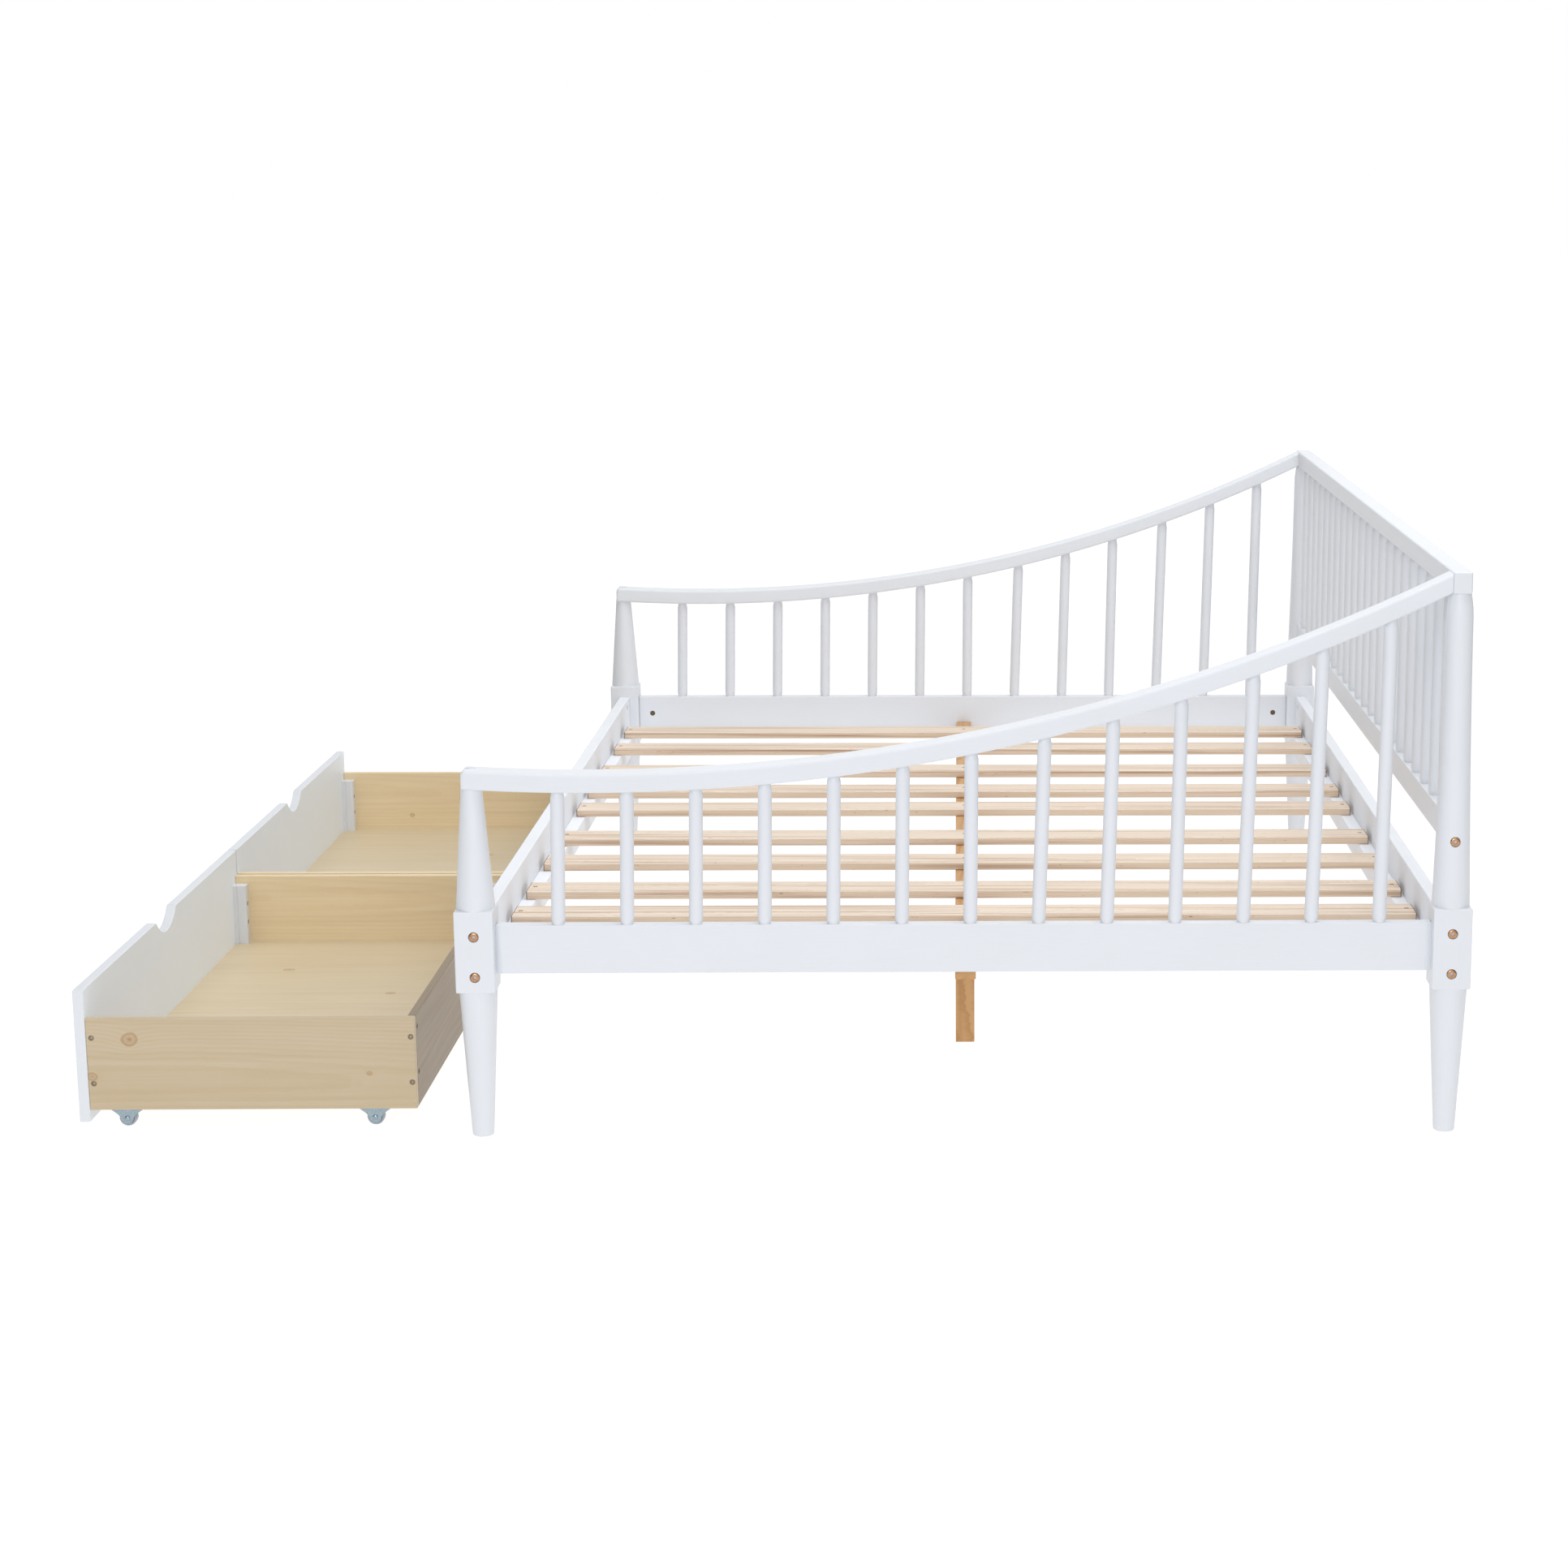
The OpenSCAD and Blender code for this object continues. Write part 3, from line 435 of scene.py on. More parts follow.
def apply_boolean(target, tools, operation):
    """Joins tools to the target or cuts them out of it, and removes them."""
    for tool in tools:
        change = target.modifiers.new("shape", "BOOLEAN")
        change.operation = operation
        change.solver = "EXACT"
        change.object = tool
    graph = bpy.context.evaluated_depsgraph_get()
    mesh = bpy.data.meshes.new_from_object(target.evaluated_get(graph))
    old = target.data
    target.modifiers.clear()
    target.data = mesh
    mesh.name = target.name
    bpy.data.meshes.remove(old)
    for tool in tools:
        bpy.data.objects.remove(tool)


def set_grain(obj, way, seed):
    """Stores each vertex's place in its board: along, across and through the grain."""
    order = {"X": (0, 1, 2), "Y": (1, 0, 2), "Z": (2, 0, 1), "YZ": (1, 2, 0), "XZ": (0, 2, 1)}[way]
    mesh = obj.data
    points = [v.co.copy() for v in mesh.vertices]
    lo = Vector([min(p[i] for p in points) for i in range(3)])
    hi = Vector([max(p[i] for p in points) for i in range(3)])
    centre = (lo + hi) / 2
    half = (hi - lo)[order[0]] / 2
    grain = mesh.attributes.new("grain", "FLOAT_VECTOR", "POINT")
    board = mesh.attributes.new("board", "FLOAT_VECTOR", "POINT")
    for i, p in enumerate(points):
        local = p - centre
        grain.data[i].vector = [local[k] for k in order]
        board.data[i].vector = (seed, half, 0)


def show(obj, node, body, material, way="X", seed=0.0, angle=40, also=()):
    """Finishes a piece: normals, grain, material, the body that it rides on and what it stands for."""
    obj.data.materials.clear()
    obj.data.materials.append(material)
    for face in obj.data.polygons:
        face.use_smooth = True
    obj.data.set_sharp_from_angle(angle=math.radians(angle))
    even = obj.modifiers.new("even_normals", "WEIGHTED_NORMAL")
    even.keep_sharp = True
    set_grain(obj, way, seed)
    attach(obj, body)
    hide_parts(node, *also)
    return obj


def facing(start, way):
    """Place with its origin at start and its Z axis along way."""
    return Matrix.Translation(start) @ Vector(way).to_track_quat("Z", "Y").to_matrix().to_4x4()


def second_look(obj, material, axis, least):
    """Gives another material to the faces that look along +Y (axis 1) or +Z (axis 2)."""
    obj.data.materials.append(material)
    for face in obj.data.polygons:
        if face.normal[axis] > least:
            face.material_index = 1


def rod(name, start, end, r, segments=32):
    """A plain round tool or pin between two points."""
    start, end = Vector(start), Vector(end)
    profile = [(r, 0), (r, (end - start).length)]
    return to_object(name, lathe(bmesh.new(), profile, segments, facing(start, end - start)))


# ---------- posts ----------

def eased_profile(points, r=1.2 * MM):
    """The same profile with its first and last corners rounded."""
    (r0, z0), (r1, z1) = points[0], points[-1]
    foot = [(r0 - r + r * math.sin(a), z0 + r - r * math.cos(a)) for a in (0, 0.4, 0.8, 1.2)]
    top = [(r1 - r + r * math.sin(a), z1 - r + r * math.cos(a)) for a in (1.2, 0.8, 0.4, 0)]
    return foot + points[1:-1] + top


def post(side, row):
    """Turned leg and shaft joined to a square block, with recesses for the bolt heads."""
    node = f"{row}_{side}_post"
    centre = middle(node)
    sx, sy = ENDS[side], (-1 if row == "front" else 1)
    place = Matrix.Translation((centre.x, centre.y, 0))
    leg = eased_profile([(FOOT_R, 0), (FOOT_R + 0.2 * MM, 5 * MM), (SHAFT_R, BLOCK_BOTTOM + 2 * MM),
                         (SHAFT_R, BLOCK_BOTTOM + 4 * MM)], 2.4 * MM)
    if row == "front":
        top = under_z(centre.y) + 3 * MM
        shaft = [(SHAFT_R, BLOCK_TOP - 4 * MM), (SHAFT_R, BLOCK_TOP + 4 * MM), (FRONT_TOP_R, top - 4 * MM),
                 (FRONT_TOP_R, top)]
    else:
        top = high(node).z
        taper_top = top - BACK_TAPER_END
        shaft = [(SHAFT_R, BLOCK_TOP - 4 * MM)]
        for i in range(17):
            z = BLOCK_TOP + (taper_top - BLOCK_TOP) * i / 16
            share = ((taper_top - z) / (taper_top - BLOCK_TOP)) ** BACK_TAPER_POWER
            shaft.append((BACK_TOP_R + (SHAFT_R - BACK_TOP_R) * share, z))
        shaft += [(r, top - down) for r, down in BACK_NECK]
    body = to_object(node + "_turned", lathe(bmesh.new(), leg, 72, place))
    upper = to_object("upper", lathe(bmesh.new(), shaft, 72, place))
    lo = Vector((centre.x - BLOCK_HALF, centre.y - BLOCK_HALF, BLOCK_BOTTOM))
    hi = Vector((centre.x + BLOCK_HALF, centre.y + BLOCK_HALF, BLOCK_TOP))
    block = to_object("block", box_mesh(lo, hi, 2.2 * MM, 4))
    apply_boolean(body, [block, upper], "UNION")
    outer = centre.x + sx * BLOCK_HALF
    holes = [rod("hole", (outer - sx * HEAD_SUNK, centre.y, z), (outer + sx * 0.01, centre.y, z), BOLT_HOLE_R)
             for z in SIDE_BOLT_Z]
    face = centre.y + sy * BLOCK_HALF
    holes.append(rod("hole", (centre.x, face - sy * HEAD_SUNK, END_BOLT_Z),
                     (centre.x, face + sy * 0.01, END_BOLT_Z), BOLT_HOLE_R))
    if row == "back":
        holes.append(rod("hole", (centre.x + sx * LOWER_BOLT_SEAT, centre.y, LOWER_BOLT_Z),
                         (centre.x + sx * 0.04, centre.y, LOWER_BOLT_Z), BOLT_HOLE_R))
    apply_boolean(body, holes, "DIFFERENCE")
    show(body, node, BED, PAINT, "Z", 0.31 * (2 + sx) + 0.17 * sy)


for side_name in ENDS:
    for row_name in ("front", "back"):
        post(side_name, row_name)


# ---------- bolts, nuts and plugs ----------

def bolt_head(start, way):
    """Connector-bolt head with a rounded rim and a hexagon socket, seated at start."""
    place = facing(start, way)
    rim = [(0, -8 * MM), (3 * MM, -8 * MM), (3 * MM, 0), (BOLT_HEAD_R - 0.3 * MM, 0), (BOLT_HEAD_R, 0.3 * MM),
           (BOLT_HEAD_R, 1.2 * MM), (BOLT_HEAD_R - 0.3 * MM, 1.8 * MM), (BOLT_HEAD_R - 1 * MM, 2.3 * MM),
           (BOLT_HEAD_R - 2 * MM, 2.6 * MM), (4 * MM, 2.8 * MM), (0, 2.8 * MM)]
    head = to_object("head", lathe(bmesh.new(), rim, 48, place))
    inside = place @ Vector((0, 0, -1.2 * MM))
    outside = place @ Vector((0, 0, 6 * MM))
    apply_boolean(head, [rod("key", inside, outside, 2.9 * MM, 6)], "DIFFERENCE")
    return head


def join(parts, name):
    """One object from many, keeping their places."""
    bm = bmesh.new()
    for part in parts:
        bm.from_mesh(part.data)
        bpy.data.objects.remove(part)
    return to_object(name, bm)


heads = []
nuts = []
for side_name, sx in ENDS.items():
    for row_name, sy in (("front", -1), ("back", 1)):
        centre = middle(f"{row_name}_{side_name}_post")
        outer_x = centre.x + sx * (BLOCK_HALF - HEAD_SUNK)
        outer_y = centre.y + sy * (BLOCK_HALF - HEAD_SUNK)
        heads += [bolt_head((outer_x, centre.y, z), (sx, 0, 0)) for z in SIDE_BOLT_Z]
        heads.append(bolt_head((centre.x, outer_y, END_BOLT_Z), (0, sy, 0)))
        if row_name == "back":
            heads.append(bolt_head((centre.x + sx * LOWER_BOLT_SEAT, centre.y, LOWER_BOLT_Z), (sx, 0, 0)))
show(join(heads, "bolt_heads"), "frame_bolts", BED, BRONZE, angle=30)


# ---------- end panels ----------

def section(w, h, r, steps=5):
    """Rounded rectangle, centred, as (x, z) points."""
    points = []
    for cx, cz, start in ((w / 2 - r, h / 2 - r, 0), (r - w / 2, h / 2 - r, 90),
                          (r - w / 2, r - h / 2, 180), (w / 2 - r, r - h / 2, 270)):
        points += arc(cx, cz, r, start, start + 90, steps)
    return points


def loft(bm, rings):
    """Skins closed rings of points and caps both ends."""
    made = [[bm.verts.new(p) for p in ring] for ring in rings]
    for a, b in zip(made, made[1:]):
        for i in range(len(a)):
            j = (i + 1) % len(a)
            bm.faces.new((a[i], a[j], b[j], b[i]))
    bm.faces.new(made[0][::-1])
    bm.faces.new(made[-1])
    return bm


def curved_rail(side):
    """Top rail bent along an arc, with a rounded front end and a recess for the plug."""
    node = f"{side}_end_top_rail"
    lo, hi = low(node), high(node)
    width = hi.x - lo.x
    cx = (lo.x + hi.x) / 2
    nose = 7 * MM
    stations = [(lo.y + nose * (1 - math.cos(a)), nose * (1 - math.sin(a))) for a in
                [math.radians(10 + 80 * i / 6) for i in range(7)]]
    steps = 72
    stations += [(lo.y + nose + (hi.y - lo.y - nose) * i / steps, 0) for i in range(1, steps + 1)]
    rings = []
    for y, shrink in stations:
        z = under_z(y) + RAIL_H / 2 - shrink * 0.5
        points = section(width - shrink * 0.8, RAIL_H - shrink, 4.5 * MM)
        rings.append([Vector((cx + px, y, z + pz)) for px, pz in points])
    rail = to_object(node + "_bent", loft(bmesh.new(), rings))
    y = middle(f"front_{side}_post").y
    top = under_z(y) + RAIL_H
    hole = rod("hole", (cx, y, top - 1.2 * MM), (cx, y, top + 0.02), PLUG_HOLE_R, 40)
    apply_boolean(rail, [hole], "DIFFERENCE")
    show(rail, node, BED, PAINT, "Y", 0.4 if side == "right" else 0.9)


def plug(side):
    """Plug cap over the front post, set a little below the curved rail's top."""
    y = middle(f"front_{side}_post").y
    top = under_z(y) + RAIL_H
    x = middle(f"{side}_end_top_rail").x
    rim = [(PLUG_R, -4 * MM), (PLUG_R, -0.9 * MM), (PLUG_R - 0.3 * MM, -0.6 * MM), (4 * MM, -0.45 * MM),
           (0, -0.4 * MM)]
    return to_object("plug", lathe(bmesh.new(), rim, 40, Matrix.Translation((x, y, top))))


def spindle_profile(length, sink_top):
    """Turned spindle: slim ends that swell into an even middle."""
    low_end = [(SPINDLE_END_R, -3 * MM)]
    for i in range(9):
        share = (1 - math.cos(math.pi * i / 8)) / 2
        low_end.append((SPINDLE_END_R + (SPINDLE_MID_R - SPINDLE_END_R) * share, SPINDLE_SWELL * i / 8))
    high_end = [(r, length - 3 * MM - z) for r, z in reversed(low_end[1:])]
    return low_end + high_end + [(SPINDLE_END_R, length + sink_top)]


def end_spindles(side):
    """Row of spindles between an end's two rails, each with its own lean."""
    node = f"{side}_end_spindles"
    x, foot = middle(node).x, high(f"{side}_end_rail").z
    bm = bmesh.new()
    for i, lean in enumerate(END_LEAN_DEG):
        y = END_ROW_Y + (i - (len(END_LEAN_DEG) - 1) / 2) * END_PITCH
        tilt = math.radians(lean)
        top_y = y + (under_z(y) - foot) * math.tan(tilt)
        length = (under_z(top_y) - foot) / math.cos(tilt)
        place = Matrix.Translation((x, y, foot)) @ Matrix.Rotation(-tilt, 4, "X")
        lathe(bm, spindle_profile(length, SOCKET), 32, place)
    show(to_object(node + "_turned", bm), node, BED, PAINT, "Z", 0.2)


def straight_rail(node, way, ease=1.8 * MM, holes=(), material=PAINT, seed=0.5):
    """Straight board with eased edges that fills its node's box, less any holes."""
    rail = to_object(node + "_board", box_mesh(low(node), high(node), ease, 4))
    if holes:
        apply_boolean(rail, holes, "DIFFERENCE")
    show(rail, node, BED, material, way, seed)


def nut_hole(start, way):
    """Puts a barrel nut's slotted face just below a rail's surface, and returns its hole."""
    start, way = Vector(start), Vector(way)
    place = facing(start - way * NUT_SUNK, way)
    rim = [(NUT_R, -7 * MM), (NUT_R, -0.4 * MM), (NUT_R - 0.4 * MM, 0), (0, 0)]
    nut = to_object("nut", lathe(bmesh.new(), rim, 32, place))
    slot = box_mesh(Vector((-0.6 * MM, -6 * MM, -1 * MM)), Vector((0.6 * MM, 6 * MM, 1 * MM)), 0.05 * MM, 1)
    bmesh.ops.transform(slot, matrix=place, verts=slot.verts[:])
    apply_boolean(nut, [to_object("slot", slot)], "DIFFERENCE")
    nuts.append(nut)
    return rod("hole", start - way * 8 * MM, start + way * 10 * MM, NUT_HOLE_R)


def end_rail(side):
    """Rail with a wide chamfer at each end of its outer face, beside the posts."""
    node = f"{side}_end_rail"
    lo, hi = low(node), high(node)
    sx = ENDS[side]
    inner, outer = (lo.x, hi.x) if sx > 0 else (hi.x, lo.x)
    nut_y = hi.y - NUT_INSET
    cuts = [nut_hole((inner, y, END_BOLT_Z), (-sx, 0, 0)) for y in (-nut_y, nut_y)]
    for sy in (-1, 1):
        outline = [(outer - sx * CHAMFER_D, sy * (hi.y + 1 * MM)), (outer - sx * CHAMFER_D, sy * hi.y),
                   (outer, sy * (hi.y - CHAMFER_W)), (outer + sx * 1 * MM, sy * (hi.y - CHAMFER_W)),
                   (outer + sx * 1 * MM, sy * (hi.y + 1 * MM))]
        base = Matrix.Translation((0, 0, lo.z - 1 * MM))
        wedge = extrude_outline(bmesh.new(), outline, base, hi.z - lo.z + 2 * MM)
        cuts.append(to_object("wedge", wedge))
    straight_rail(node, "Y", 2 * MM, cuts, seed=0.7 + 0.2 * sx)


for side_name in ENDS:
    curved_rail(side_name)
    end_rail(side_name)
    end_spindles(side_name)
show(join([plug(s) for s in ENDS], "plug_caps"), "rail_plugs", BED, PAINT, "Z", 1.3)


# ---------- back panel and side rails ----------

straight_rail("back_top_rail", "X", 3 * MM, seed=1.1)
holes = [nut_hole((x, high("back_lower_rail").y, LOWER_BOLT_Z), (0, 1, 0))
         for x in (-LOWER_NUT_X, LOWER_NUT_X)]
straight_rail("back_lower_rail", "X", 2 * MM, holes, seed=1.4)
# The side rails and ledgers take the brighter copy of the paint as painted light.
for node, face, way in (("front_side_rail", high("front_side_rail").y, 1),
                        ("back_side_rail", low("back_side_rail").y, -1)):
    holes = [nut_hole((x, face, z), (0, way, 0)) for x in (-SIDE_NUT_X, SIDE_NUT_X) for z in SIDE_BOLT_Z]
    straight_rail(node, "X", 2 * MM, holes, INNER_PAINT, 2.1 if way > 0 else 2.6)
show(join(nuts, "nut_faces"), "barrel_nuts", BED, NUT_BRONZE, angle=30)
straight_rail("front_ledger", "X", 1.2 * MM, material=INNER_PAINT, seed=3.1)
straight_rail("back_ledger", "X", 1.2 * MM, material=INNER_PAINT, seed=3.6)


def back_spindles():
    """Evenly spaced spindles between the back panel's two rails."""
    node = "back_spindles"
    foot, head = high("back_lower_rail").z, low("back_top_rail").z
    left, right = middle("back_left_post").x, middle("back_right_post").x
    bm = bmesh.new()
    for i in range(1, BACK_SPINDLES + 1):
        x = left + (right - left) * i / (BACK_SPINDLES + 1)
        lathe(bm, spindle_profile(head - foot, 3 * MM), 32, Matrix.Translation((x, middle(node).y, foot)))
    show(to_object(node + "_turned", bm), node, BED, PAINT, "Z", 0.6)


back_spindles()


# ---------- slats and centre support ----------

def slat(number):
    """Board with rounded long edges and nicked ends, and a paler copy of its wood on top as painted light."""
    node = f"slat_{number}"
    lo, hi = low(node), high(node)
    centre, size = (lo + hi) / 2, hi - lo
    nick = 0.4 * MM
    rings = []
    for y, less in ((lo.y, nick), (lo.y + nick, 0), (hi.y - nick, 0), (hi.y, nick)):
        outline = section(size.x - 2 * less, size.z - 2 * less, 3.2 * MM, 4)
        rings.append([Vector((centre.x + px, y, centre.z + pz)) for px, pz in outline])
    board = to_object(node + "_board", loft(bmesh.new(), rings))
    show(board, node, BED, SLAT, "Y", 0.37 * number)
    second_look(board, LIT_SLAT_TOP, 2, 0.5)


for number in range(1, SLAT_COUNT + 1):
    slat(number)


def screw_head(start, way, r=3.8 * MM, sunk=0.0):
    """Countersunk head with a cross recess, its rim sunk that far below start."""
    way = Vector(way)
    place = facing(Vector(start) - way * sunk, way)
    dome = [(r * 0.5, -1.6 * MM), (r, -0.1 * MM), (r * 0.97, 0.05 * MM), (r * 0.6, 0.2 * MM), (0, 0.26 * MM)]
    head = to_object("screw", lathe(bmesh.new(), dome, 24, place))
    slots = []
    for a, b in ((r * 0.62, r * 0.15), (r * 0.15, r * 0.62)):
        bm = box_mesh(Vector((-a, -b, -1.0 * MM)), Vector((a, b, 1 * MM)), 0.05 * MM, 1)
        bmesh.ops.transform(bm, matrix=place, verts=bm.verts[:])
        slots.append(to_object("slot", bm))
    apply_boolean(head, slots, "DIFFERENCE")
    return head


slat_heads = []
for number in range(1, SLAT_COUNT + 1):
    spot = middle(f"slat_{number}")
    top = high(f"slat_{number}").z
    for y in SLAT_SCREW_Y:
        slat_heads.append(screw_head((spot.x, y, top), (0, 0, 1)))
show(join(slat_heads, "slat_screw_heads"), "slat_screws", BED, SCREW_STEEL, "Z", angle=30)

beam = to_object("centre_beam_board", box_mesh(low("centre_beam"), high("centre_beam"), 1.2 * MM, 3))
show(beam, "centre_beam", BED, BEAM_PINE, "X", 0.8)


def centre_legs():
    """Three square legs in a row along the bed, the outer two at the ends of the node's box."""
    node = "centre_legs"
    lo, hi = low(node), high(node)
    half = (hi.y - lo.y) / 2
    bm = bmesh.new()
    for x in (hi.x - half, (lo.x + hi.x) / 2, lo.x + half):
        part = box_mesh(Vector((x - half, lo.y, lo.z)), Vector((x + half, hi.y, hi.z)), 1.2 * MM, 3)
        made = to_object("leg", part)
        bm.from_mesh(made.data)
        bpy.data.objects.remove(made)
    show(to_object("centre_leg_posts", bm), node, BED, BEAM_PINE, "Z", 0.45)


centre_legs()


# ---------- drawers ----------

def front_panel(drawer):
    """Front with a finger notch: a shallow arc cut into the top edge, its corners rounded off."""
    node = f"{drawer}_drawer_front"
    lo, hi = low(node), high(node)
    cx = (lo.x + hi.x) / 2
    r = (NOTCH_L ** 2 / 4 + NOTCH_D ** 2) / (2 * NOTCH_D)
    centre_z = hi.z + r - NOTCH_D
    swing = math.degrees(math.asin(NOTCH_L / 2 / r)) - 2
    lip = 3 * MM
    outline = [(lo.x, lo.z), (hi.x, lo.z), (hi.x, hi.z), (cx + NOTCH_L / 2 + lip, hi.z)]
    outline += arc(cx, centre_z, r, -90 + swing, -90 - swing, 40)
    outline += [(cx - NOTCH_L / 2 - lip, hi.z), (lo.x, hi.z)]
    place = Matrix.Translation((0, hi.y, 0)) @ Matrix.Rotation(math.pi / 2, 4, "X")
    bm = extrude_outline(bmesh.new(), outline, place, hi.y - lo.y)
    bmesh.ops.recalc_face_normals(bm, faces=bm.faces[:])
    rims = [e for e in bm.edges if e.calc_face_angle(0) > math.radians(60)]
    bmesh.ops.bevel(bm, geom=rims, offset=1.4 * MM, segments=3, profile=0.5, affect="EDGES",
                    clamp_overlap=True)
    panel = show(to_object(node + "_panel", bm), node, f"{drawer}_drawer", PAINT, "XZ",
                 1.2 if drawer == "right" else 1.9)
    # Painted light: the front's inner face, turned to +Y, gets the brighter copy of the paint.
    second_look(panel, LIT_PAINT, 1, 0.9)


def drawer_board(drawer, part, way, seed, holes=(), material=DRAWER_PINE, ease=1.6 * MM):
    """One flat board of a drawer, less its screw holes."""
    node = f"{drawer}_drawer_{part}"
    board = to_object(node + "_board", box_mesh(low(node), high(node), ease, 3))
    if holes:
        apply_boolean(board, holes, "DIFFERENCE")
    show(board, node, f"{drawer}_drawer", material, way, seed)


def corner_block(x, y, sx, sy, lo_z, hi_z):
    """Square stick with one rounded edge and a shallow groove, its square corner at (x, y)."""
    w, d, r = STICK_W, STICK_D, 4 * MM
    groove = [(w, 6 * MM), (w - 0.9 * MM, 6.6 * MM), (w - 0.9 * MM, 7.4 * MM), (w, 8 * MM)]
    outline = [(0, 0), (w, 0)] + groove + arc(w - r, d - r, r, 0, 90, 6) + [(0, d)]
    outline = [(x + sx * px, y + sy * py) for px, py in outline]
    stick = extrude_outline(bmesh.new(), outline, Matrix.Translation((0, 0, lo_z)), hi_z - lo_z)
    return to_object("block", stick)


def drawer(name):
    """One drawer: front, boards, screw heads, corner blocks and casters."""
    body = f"{name}_drawer"
    tag = body + "_"
    seed = 0.0 if name == "right" else 5.0
    front_panel(name)
    out_lo, out_hi = low(tag + "left_side"), high(tag + "right_side")
    in_left, in_right = high(tag + "left_side").x, low(tag + "right_side").x
    back_in = low(tag + "back").y
    front_in = high(tag + "front").y
    mid_back = (back_in + out_hi.y) / 2
    heads = []

    def hole(start, way, r=4.2 * MM, deep=1.4 * MM):
        """Adds a sunk screw head, and returns the hole it sits in."""
        start, way = Vector(start), Vector(way)
        heads.append(screw_head(start, way, sunk=deep - 0.5 * MM))
        return rod("hole", start - way * deep, start + way * 5 * MM, r, 24)

    columns = (front_in + 8 * MM, mid_back)
    right_holes = [hole((out_hi.x, y, z), (1, 0, 0)) for y in columns for z in SIDE_SCREW_Z]
    left_holes = [hole((out_lo.x, y, z), (-1, 0, 0)) for y in columns for z in SIDE_SCREW_Z]
    posts_x = (in_left + STICK_W / 2, in_right - STICK_W / 2)
    back_holes = [hole((x, out_hi.y, z), (0, 1, 0)) for x in posts_x for z in BACK_SCREW_Z]
    right_wood = SIDE_PINE if name == "right" else DRAWER_PINE
    left_wood = LEFT_PINE if name == "left" else DRAWER_PINE
    drawer_board(name, "right_side", "YZ", seed + 0.13, right_holes, right_wood)
    drawer_board(name, "left_side", "YZ", seed + 0.47, left_holes, left_wood)
    # The back board takes the darker pine as painted shade.
    drawer_board(name, "back", "XZ", seed + 0.81, back_holes, BACK_PINE)
    drawer_board(name, "floor", "Y", seed + 0.29, (), FLOOR_PINE[name], 0.6 * MM)
    lo_z, hi_z = low(tag + "corner_blocks").z, high(tag + "corner_blocks").z
    blocks = [corner_block(x, y, sx, sy, lo_z, hi_z)
              for y, sy in ((front_in, 1), (back_in, -1)) for x, sx in ((in_left, 1), (in_right, -1))]
    for x in posts_x:
        for z in FRONT_SCREW_Z:
            heads.append(screw_head((x, front_in + STICK_D, z), (0, 1, 0)))
    show(join(blocks, tag + "block_sticks"), tag + "corner_blocks", body, PAINT, "Z",
         seed + 0.2)
    show(join(heads, tag + "screw_heads"), tag + "screws", body, SCREW_STEEL, angle=30)
    casters(name)


def casters(name):
    """Each caster: a folded bracket with two cheeks, a riveted axle and a wheel."""
    body = f"{name}_drawer"
    tag = body + "_"
    plate_top = low(tag + "right_side").z
    brackets = []
    axles = []
    for number in range(1, 5):
        node = f"{tag}wheel_{number}"
        centre = middle(node)
        brackets += bracket(centre, plate_top)
        axles.append(axle(centre))
        wheel(node, centre)
    show(join(brackets, tag + "caster_forks"), tag + "caster_brackets", body, ZINC, "Y")
    show(join(axles, tag + "caster_rivets"), tag + "caster_axles", body, ZINC, "X", angle=30)


def bracket(centre, plate_top):
    """Pressed bracket: a plate with a cheek at each side that sweeps down to a round lobe."""
    half, wide = FORK_HALF_L, FORK_HALF_W
    thin, thick, lobe = 1.1 * MM, 1.5 * MM, 9 * MM
    made = [to_object("plate", box_mesh(Vector((centre.x - wide, centre.y - half, plate_top - thin)),
                                        Vector((centre.x + wide, centre.y + half, plate_top)), 0.3 * MM, 2))]
    up = plate_top - centre.z
    sweep = [(half, up - thin), (17.5 * MM, 9.2 * MM), (13.5 * MM, 6 * MM), (11 * MM, 3 * MM)]
    lower = arc(0, 0, lobe, 4, -184, 24)
    outline = [(half, up)] + sweep + lower + [(-px, pz) for px, pz in reversed(sweep)] + [(-half, up)]
    for x in (centre.x + wide - thick, centre.x - wide):
        place = Matrix.Translation((x, centre.y, centre.z)) @ UPRIGHT
        made.append(to_object("cheek", extrude_outline(bmesh.new(), outline, place, thick)))
    return made


def axle(centre):
    """Rivet as one bar, as thick as its heads, with a dome at each end."""
    half = FORK_HALF_W
    dome = [(RIVET_R * math.cos(a), half + RIVET_DOME * math.sin(a))
            for a in [math.radians(15 * i) for i in range(6)]]
    profile = [(rad, -z) for rad, z in reversed(dome)] + dome
    profile = [(0, -half - RIVET_DOME)] + profile + [(0, half + RIVET_DOME)]
    return to_object("rivet", lathe(bmesh.new(), profile, 24, Matrix.Translation(centre) @ ALONG_X))


def wheel(node, centre):
    """Moulded wheel with a rounded tread, a dished web and a hub round its bore."""
    half, bore, hub = WHEEL_HALF_W, WHEEL_BORE_R, HUB_R
    tread = arc(WHEEL_R - 2 * MM, half - 2 * MM, 2 * MM, 0, 80, 5)
    side = tread + [(WHEEL_R - 3 * MM, half - 0.1 * MM), (WHEEL_R - 3.6 * MM, half - 1 * MM),
                    (hub + 1 * MM, half - 1 * MM), (hub, half - 0.2 * MM), (bore + 0.4 * MM, half)]
    profile = [(r, -z) for r, z in reversed(side)] + side
    bm = bmesh.new()
    place = Matrix.Translation(centre) @ ALONG_X
    rings = []
    for r, z in profile + [(bore, half - 0.4 * MM), (bore, 0.4 * MM - half)]:
        turn = [2 * math.pi * i / 48 for i in range(48)]
        rings.append([bm.verts.new(place @ Vector((r * math.cos(a), r * math.sin(a), z))) for a in turn])
    for a, b in zip(rings, rings[1:] + rings[:1]):
        for i in range(48):
            j = (i + 1) % 48
            bm.faces.new((a[i], a[j], b[j], b[i]))
    show(to_object(node + "_moulded", bm), node, node, NYLON, "X", angle=35)


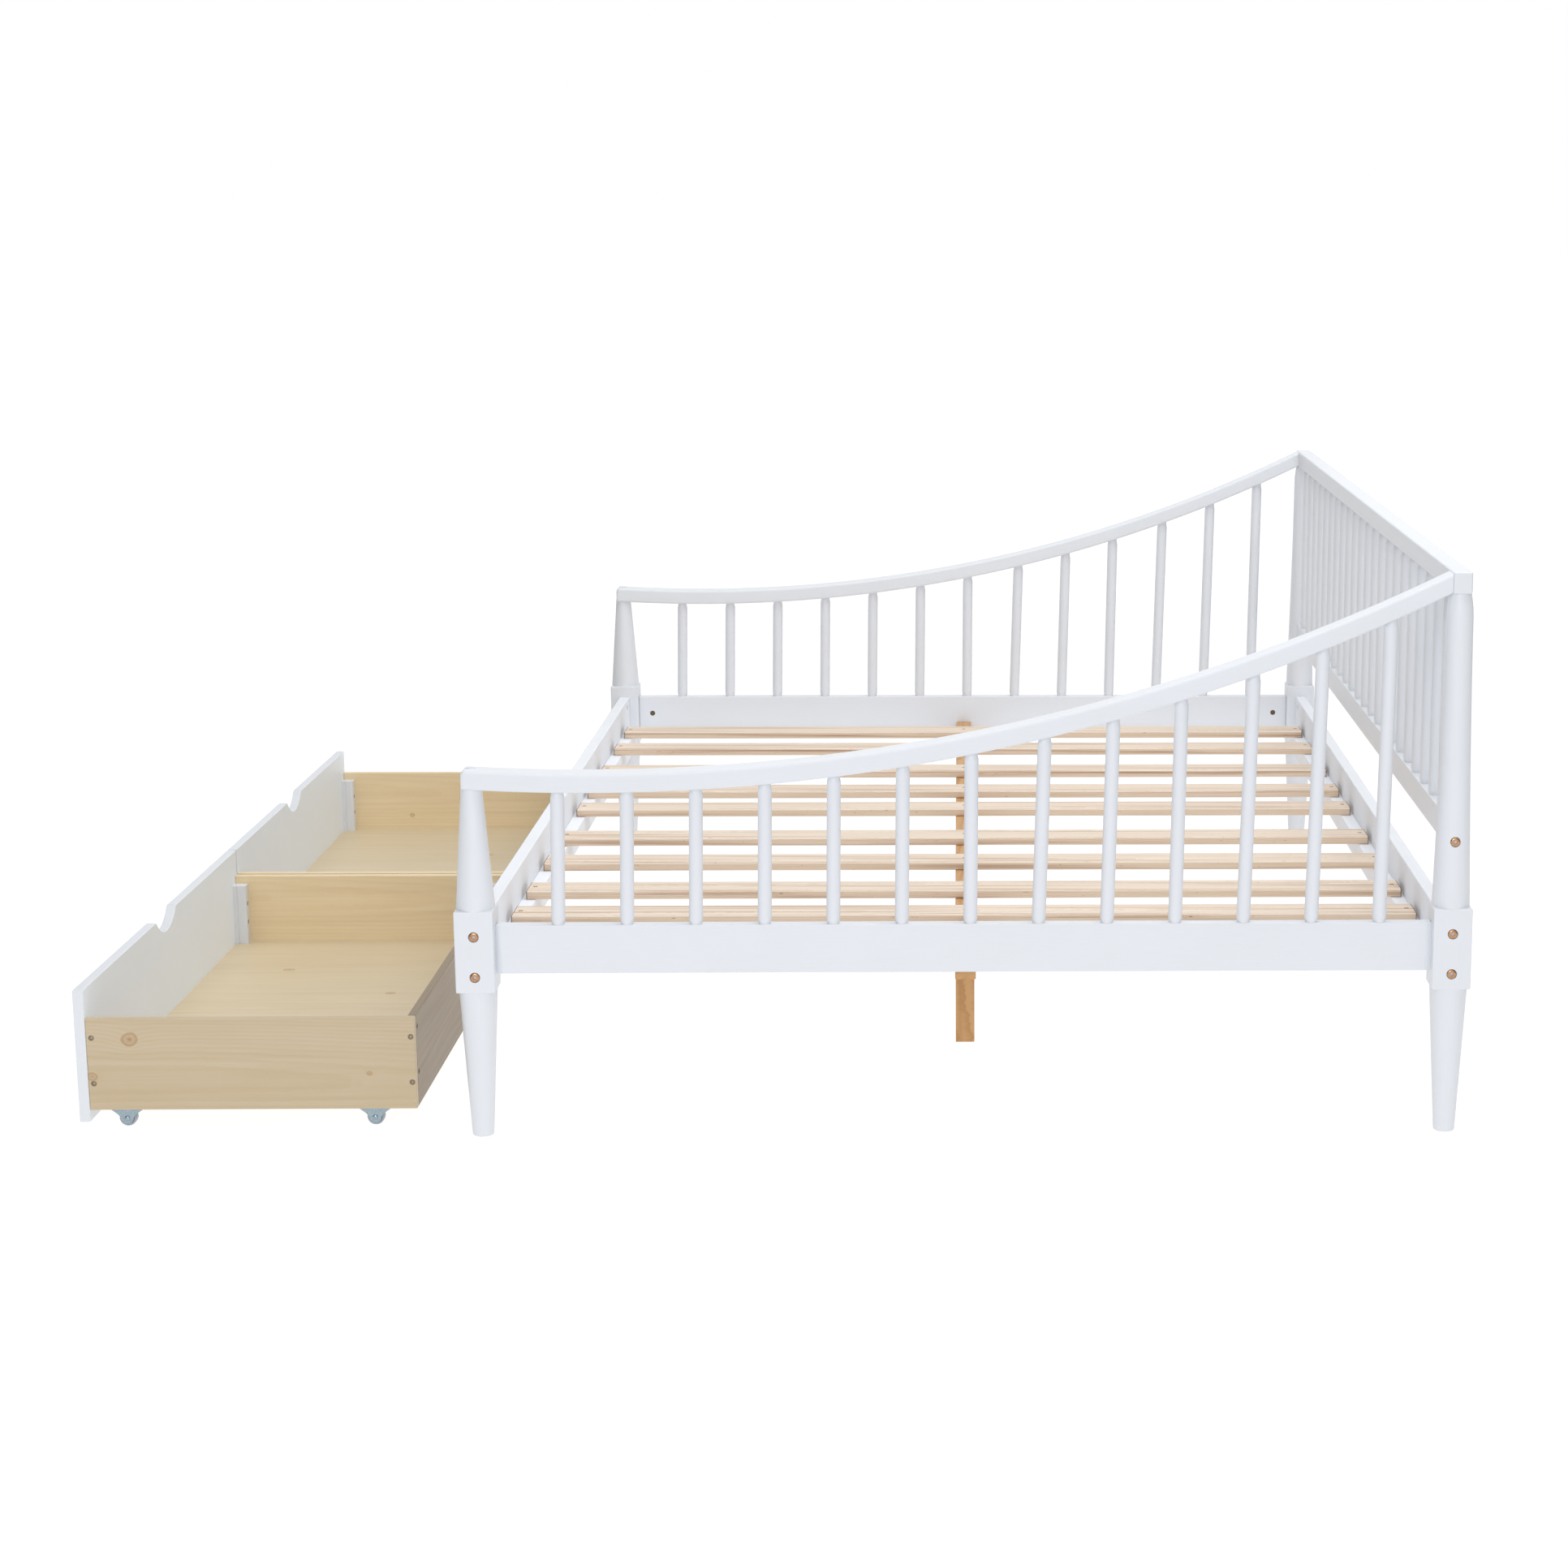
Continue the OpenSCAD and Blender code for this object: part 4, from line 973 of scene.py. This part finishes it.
SIDE_PINE = wood("knotty_side_pine", knots=((-0.175, 0.038, 0.009), (-0.232, -0.018, 0.006),
                                            (0.17, -0.015, 0.003)), **PINE)
LEFT_PINE = wood("knotty_inner_pine", knots=((0.02, 0.03, 0.005), (-0.1, -0.02, 0.004)), **WALL)
FLOOR_KNOTS = {
    "right": ((-0.06, 0.25, 0.008), (0.06, 0.17, 0.006), (-0.12, 0.05, 0.007),
              (0.0, 0.05, 0.006), (0.1, -0.1, 0.006), (-0.1, -0.25, 0.007)),
    "left": ((-0.09, 0.2, 0.007), (-0.02, 0.14, 0.005), (-0.15, 0.32, 0.006), (0.1, -0.2, 0.007)),
}
FLOOR_PINE = {
    "right": wood("knotty_floor_pine", knots=FLOOR_KNOTS["right"], **SHEET),
    "left": wood("knotty_floor_pine_2", knots=FLOOR_KNOTS["left"], **SHEET),
}
for drawer_name in DRAWERS:
    drawer(drawer_name)

# Pieces that are buried in the wood keep their CAD shape
for node_name, hidden_material in (("wood_dowels", DRAWER_PINE), ("frame_screws", SCREW_STEEL)):
    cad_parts[node_name].data.materials.clear()
    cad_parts[node_name].data.materials.append(hidden_material)


# ---------- floor, light and camera ----------

def floor_and_world():
    """A plain white floor that runs out of sight into a white surround."""
    bm = bmesh.new()
    bmesh.ops.create_grid(bm, x_segments=1, y_segments=1, size=60)
    ground = to_object("studio_floor", bm)
    g = Graph("studio_white")
    speck = g.noise(g.node("TexCoord").outputs["Object"], 3.0)
    tone = g.mix(speck, (0.15, 0.15, 0.15), (0.17, 0.17, 0.17))
    glow = g.node("Emission", {"Color": (1, 1, 1), "Strength": 0.92}).outputs[0]
    matt = g.node("BsdfDiffuse", {"Color": tone}).outputs[0]
    both = g.node("AddShader", {0: glow, 1: matt}).outputs[0]
    g.node("OutputMaterial", {"Surface": both})
    ground.data.materials.append(g.material)
    world = bpy.data.worlds.new("white_surround")
    world.use_nodes = True
    world.node_tree.nodes["Background"].inputs[0].default_value = (1, 1, 1, 1)
    world.node_tree.nodes["Background"].inputs[1].default_value = 1.0
    scene.world = world


def soft_light(name, place, target, size, watts, colour=(1, 1, 1)):
    """Rectangular light at place, aimed at target."""
    data = bpy.data.lights.new(name, "AREA")
    data.shape = "RECTANGLE"
    data.size, data.size_y = size
    data.energy = watts
    data.color = colour
    lamp = bpy.data.objects.new(name, data)
    lamp.location = place
    lamp.rotation_euler = (Vector(target) - Vector(place)).to_track_quat("-Z", "Y").to_euler()
    scene.collection.objects.link(lamp)


def flag(y, grey):
    """Grey card beside the bed, out of the picture, that keeps light off the faces turned its way."""
    bm = bmesh.new()
    bm.faces.new([bm.verts.new(p) for p in ((-5, y, 0), (5, y, 0), (5, y, 6), (-5, y, 6))])
    card = to_object("dark_card", bm)
    g = Graph(f"card_{int(100 * grey)}")
    matt = g.node("BsdfDiffuse", {"Color": (grey, grey, grey)}).outputs[0]
    g.node("OutputMaterial", {"Surface": matt})
    card.data.materials.append(g.material)
    card.visible_camera = False


def camera():
    """Eye height view along the bed from beyond its right end, aimed a little down."""
    place = Vector((5.055, -0.0065, 1.352))
    yaw, pitch, roll = 0.0283, 0.2005, 0.0038
    ahead = Vector((-math.cos(yaw) * math.cos(pitch), math.sin(yaw) * math.cos(pitch), -math.sin(pitch)))
    right = ahead.cross(Vector((0, 0, 1))).normalized()
    up = right.cross(ahead)
    right, up = right * math.cos(roll) + up * math.sin(roll), up * math.cos(roll) - right * math.sin(roll)
    data = bpy.data.cameras.new("camera")
    data.sensor_width = 36
    data.lens = 67.17
    data.shift_x = -0.1644
    data.shift_y = -0.0007
    data.clip_end = 200
    eye = bpy.data.objects.new("camera", data)
    turn = Matrix((right, up, -ahead)).transposed().to_4x4()
    eye.matrix_world = Matrix.Translation(place) @ turn
    scene.collection.objects.link(eye)
    scene.camera = eye


floor_and_world()
flag(2.4, 0.45)
flag(-3.4, 0.25)
soft_light("overhead", (0.3, 0.7, 3.6), (0.2, -0.5, 0.1), (3, 3), 60)
soft_light("camera_side", (6.5, -1.0, 2.6), (0, -0.3, 0.3), (3, 2.5), 68, (0.98, 0.99, 1.0))
camera()
scene.view_settings.view_transform = "Standard"
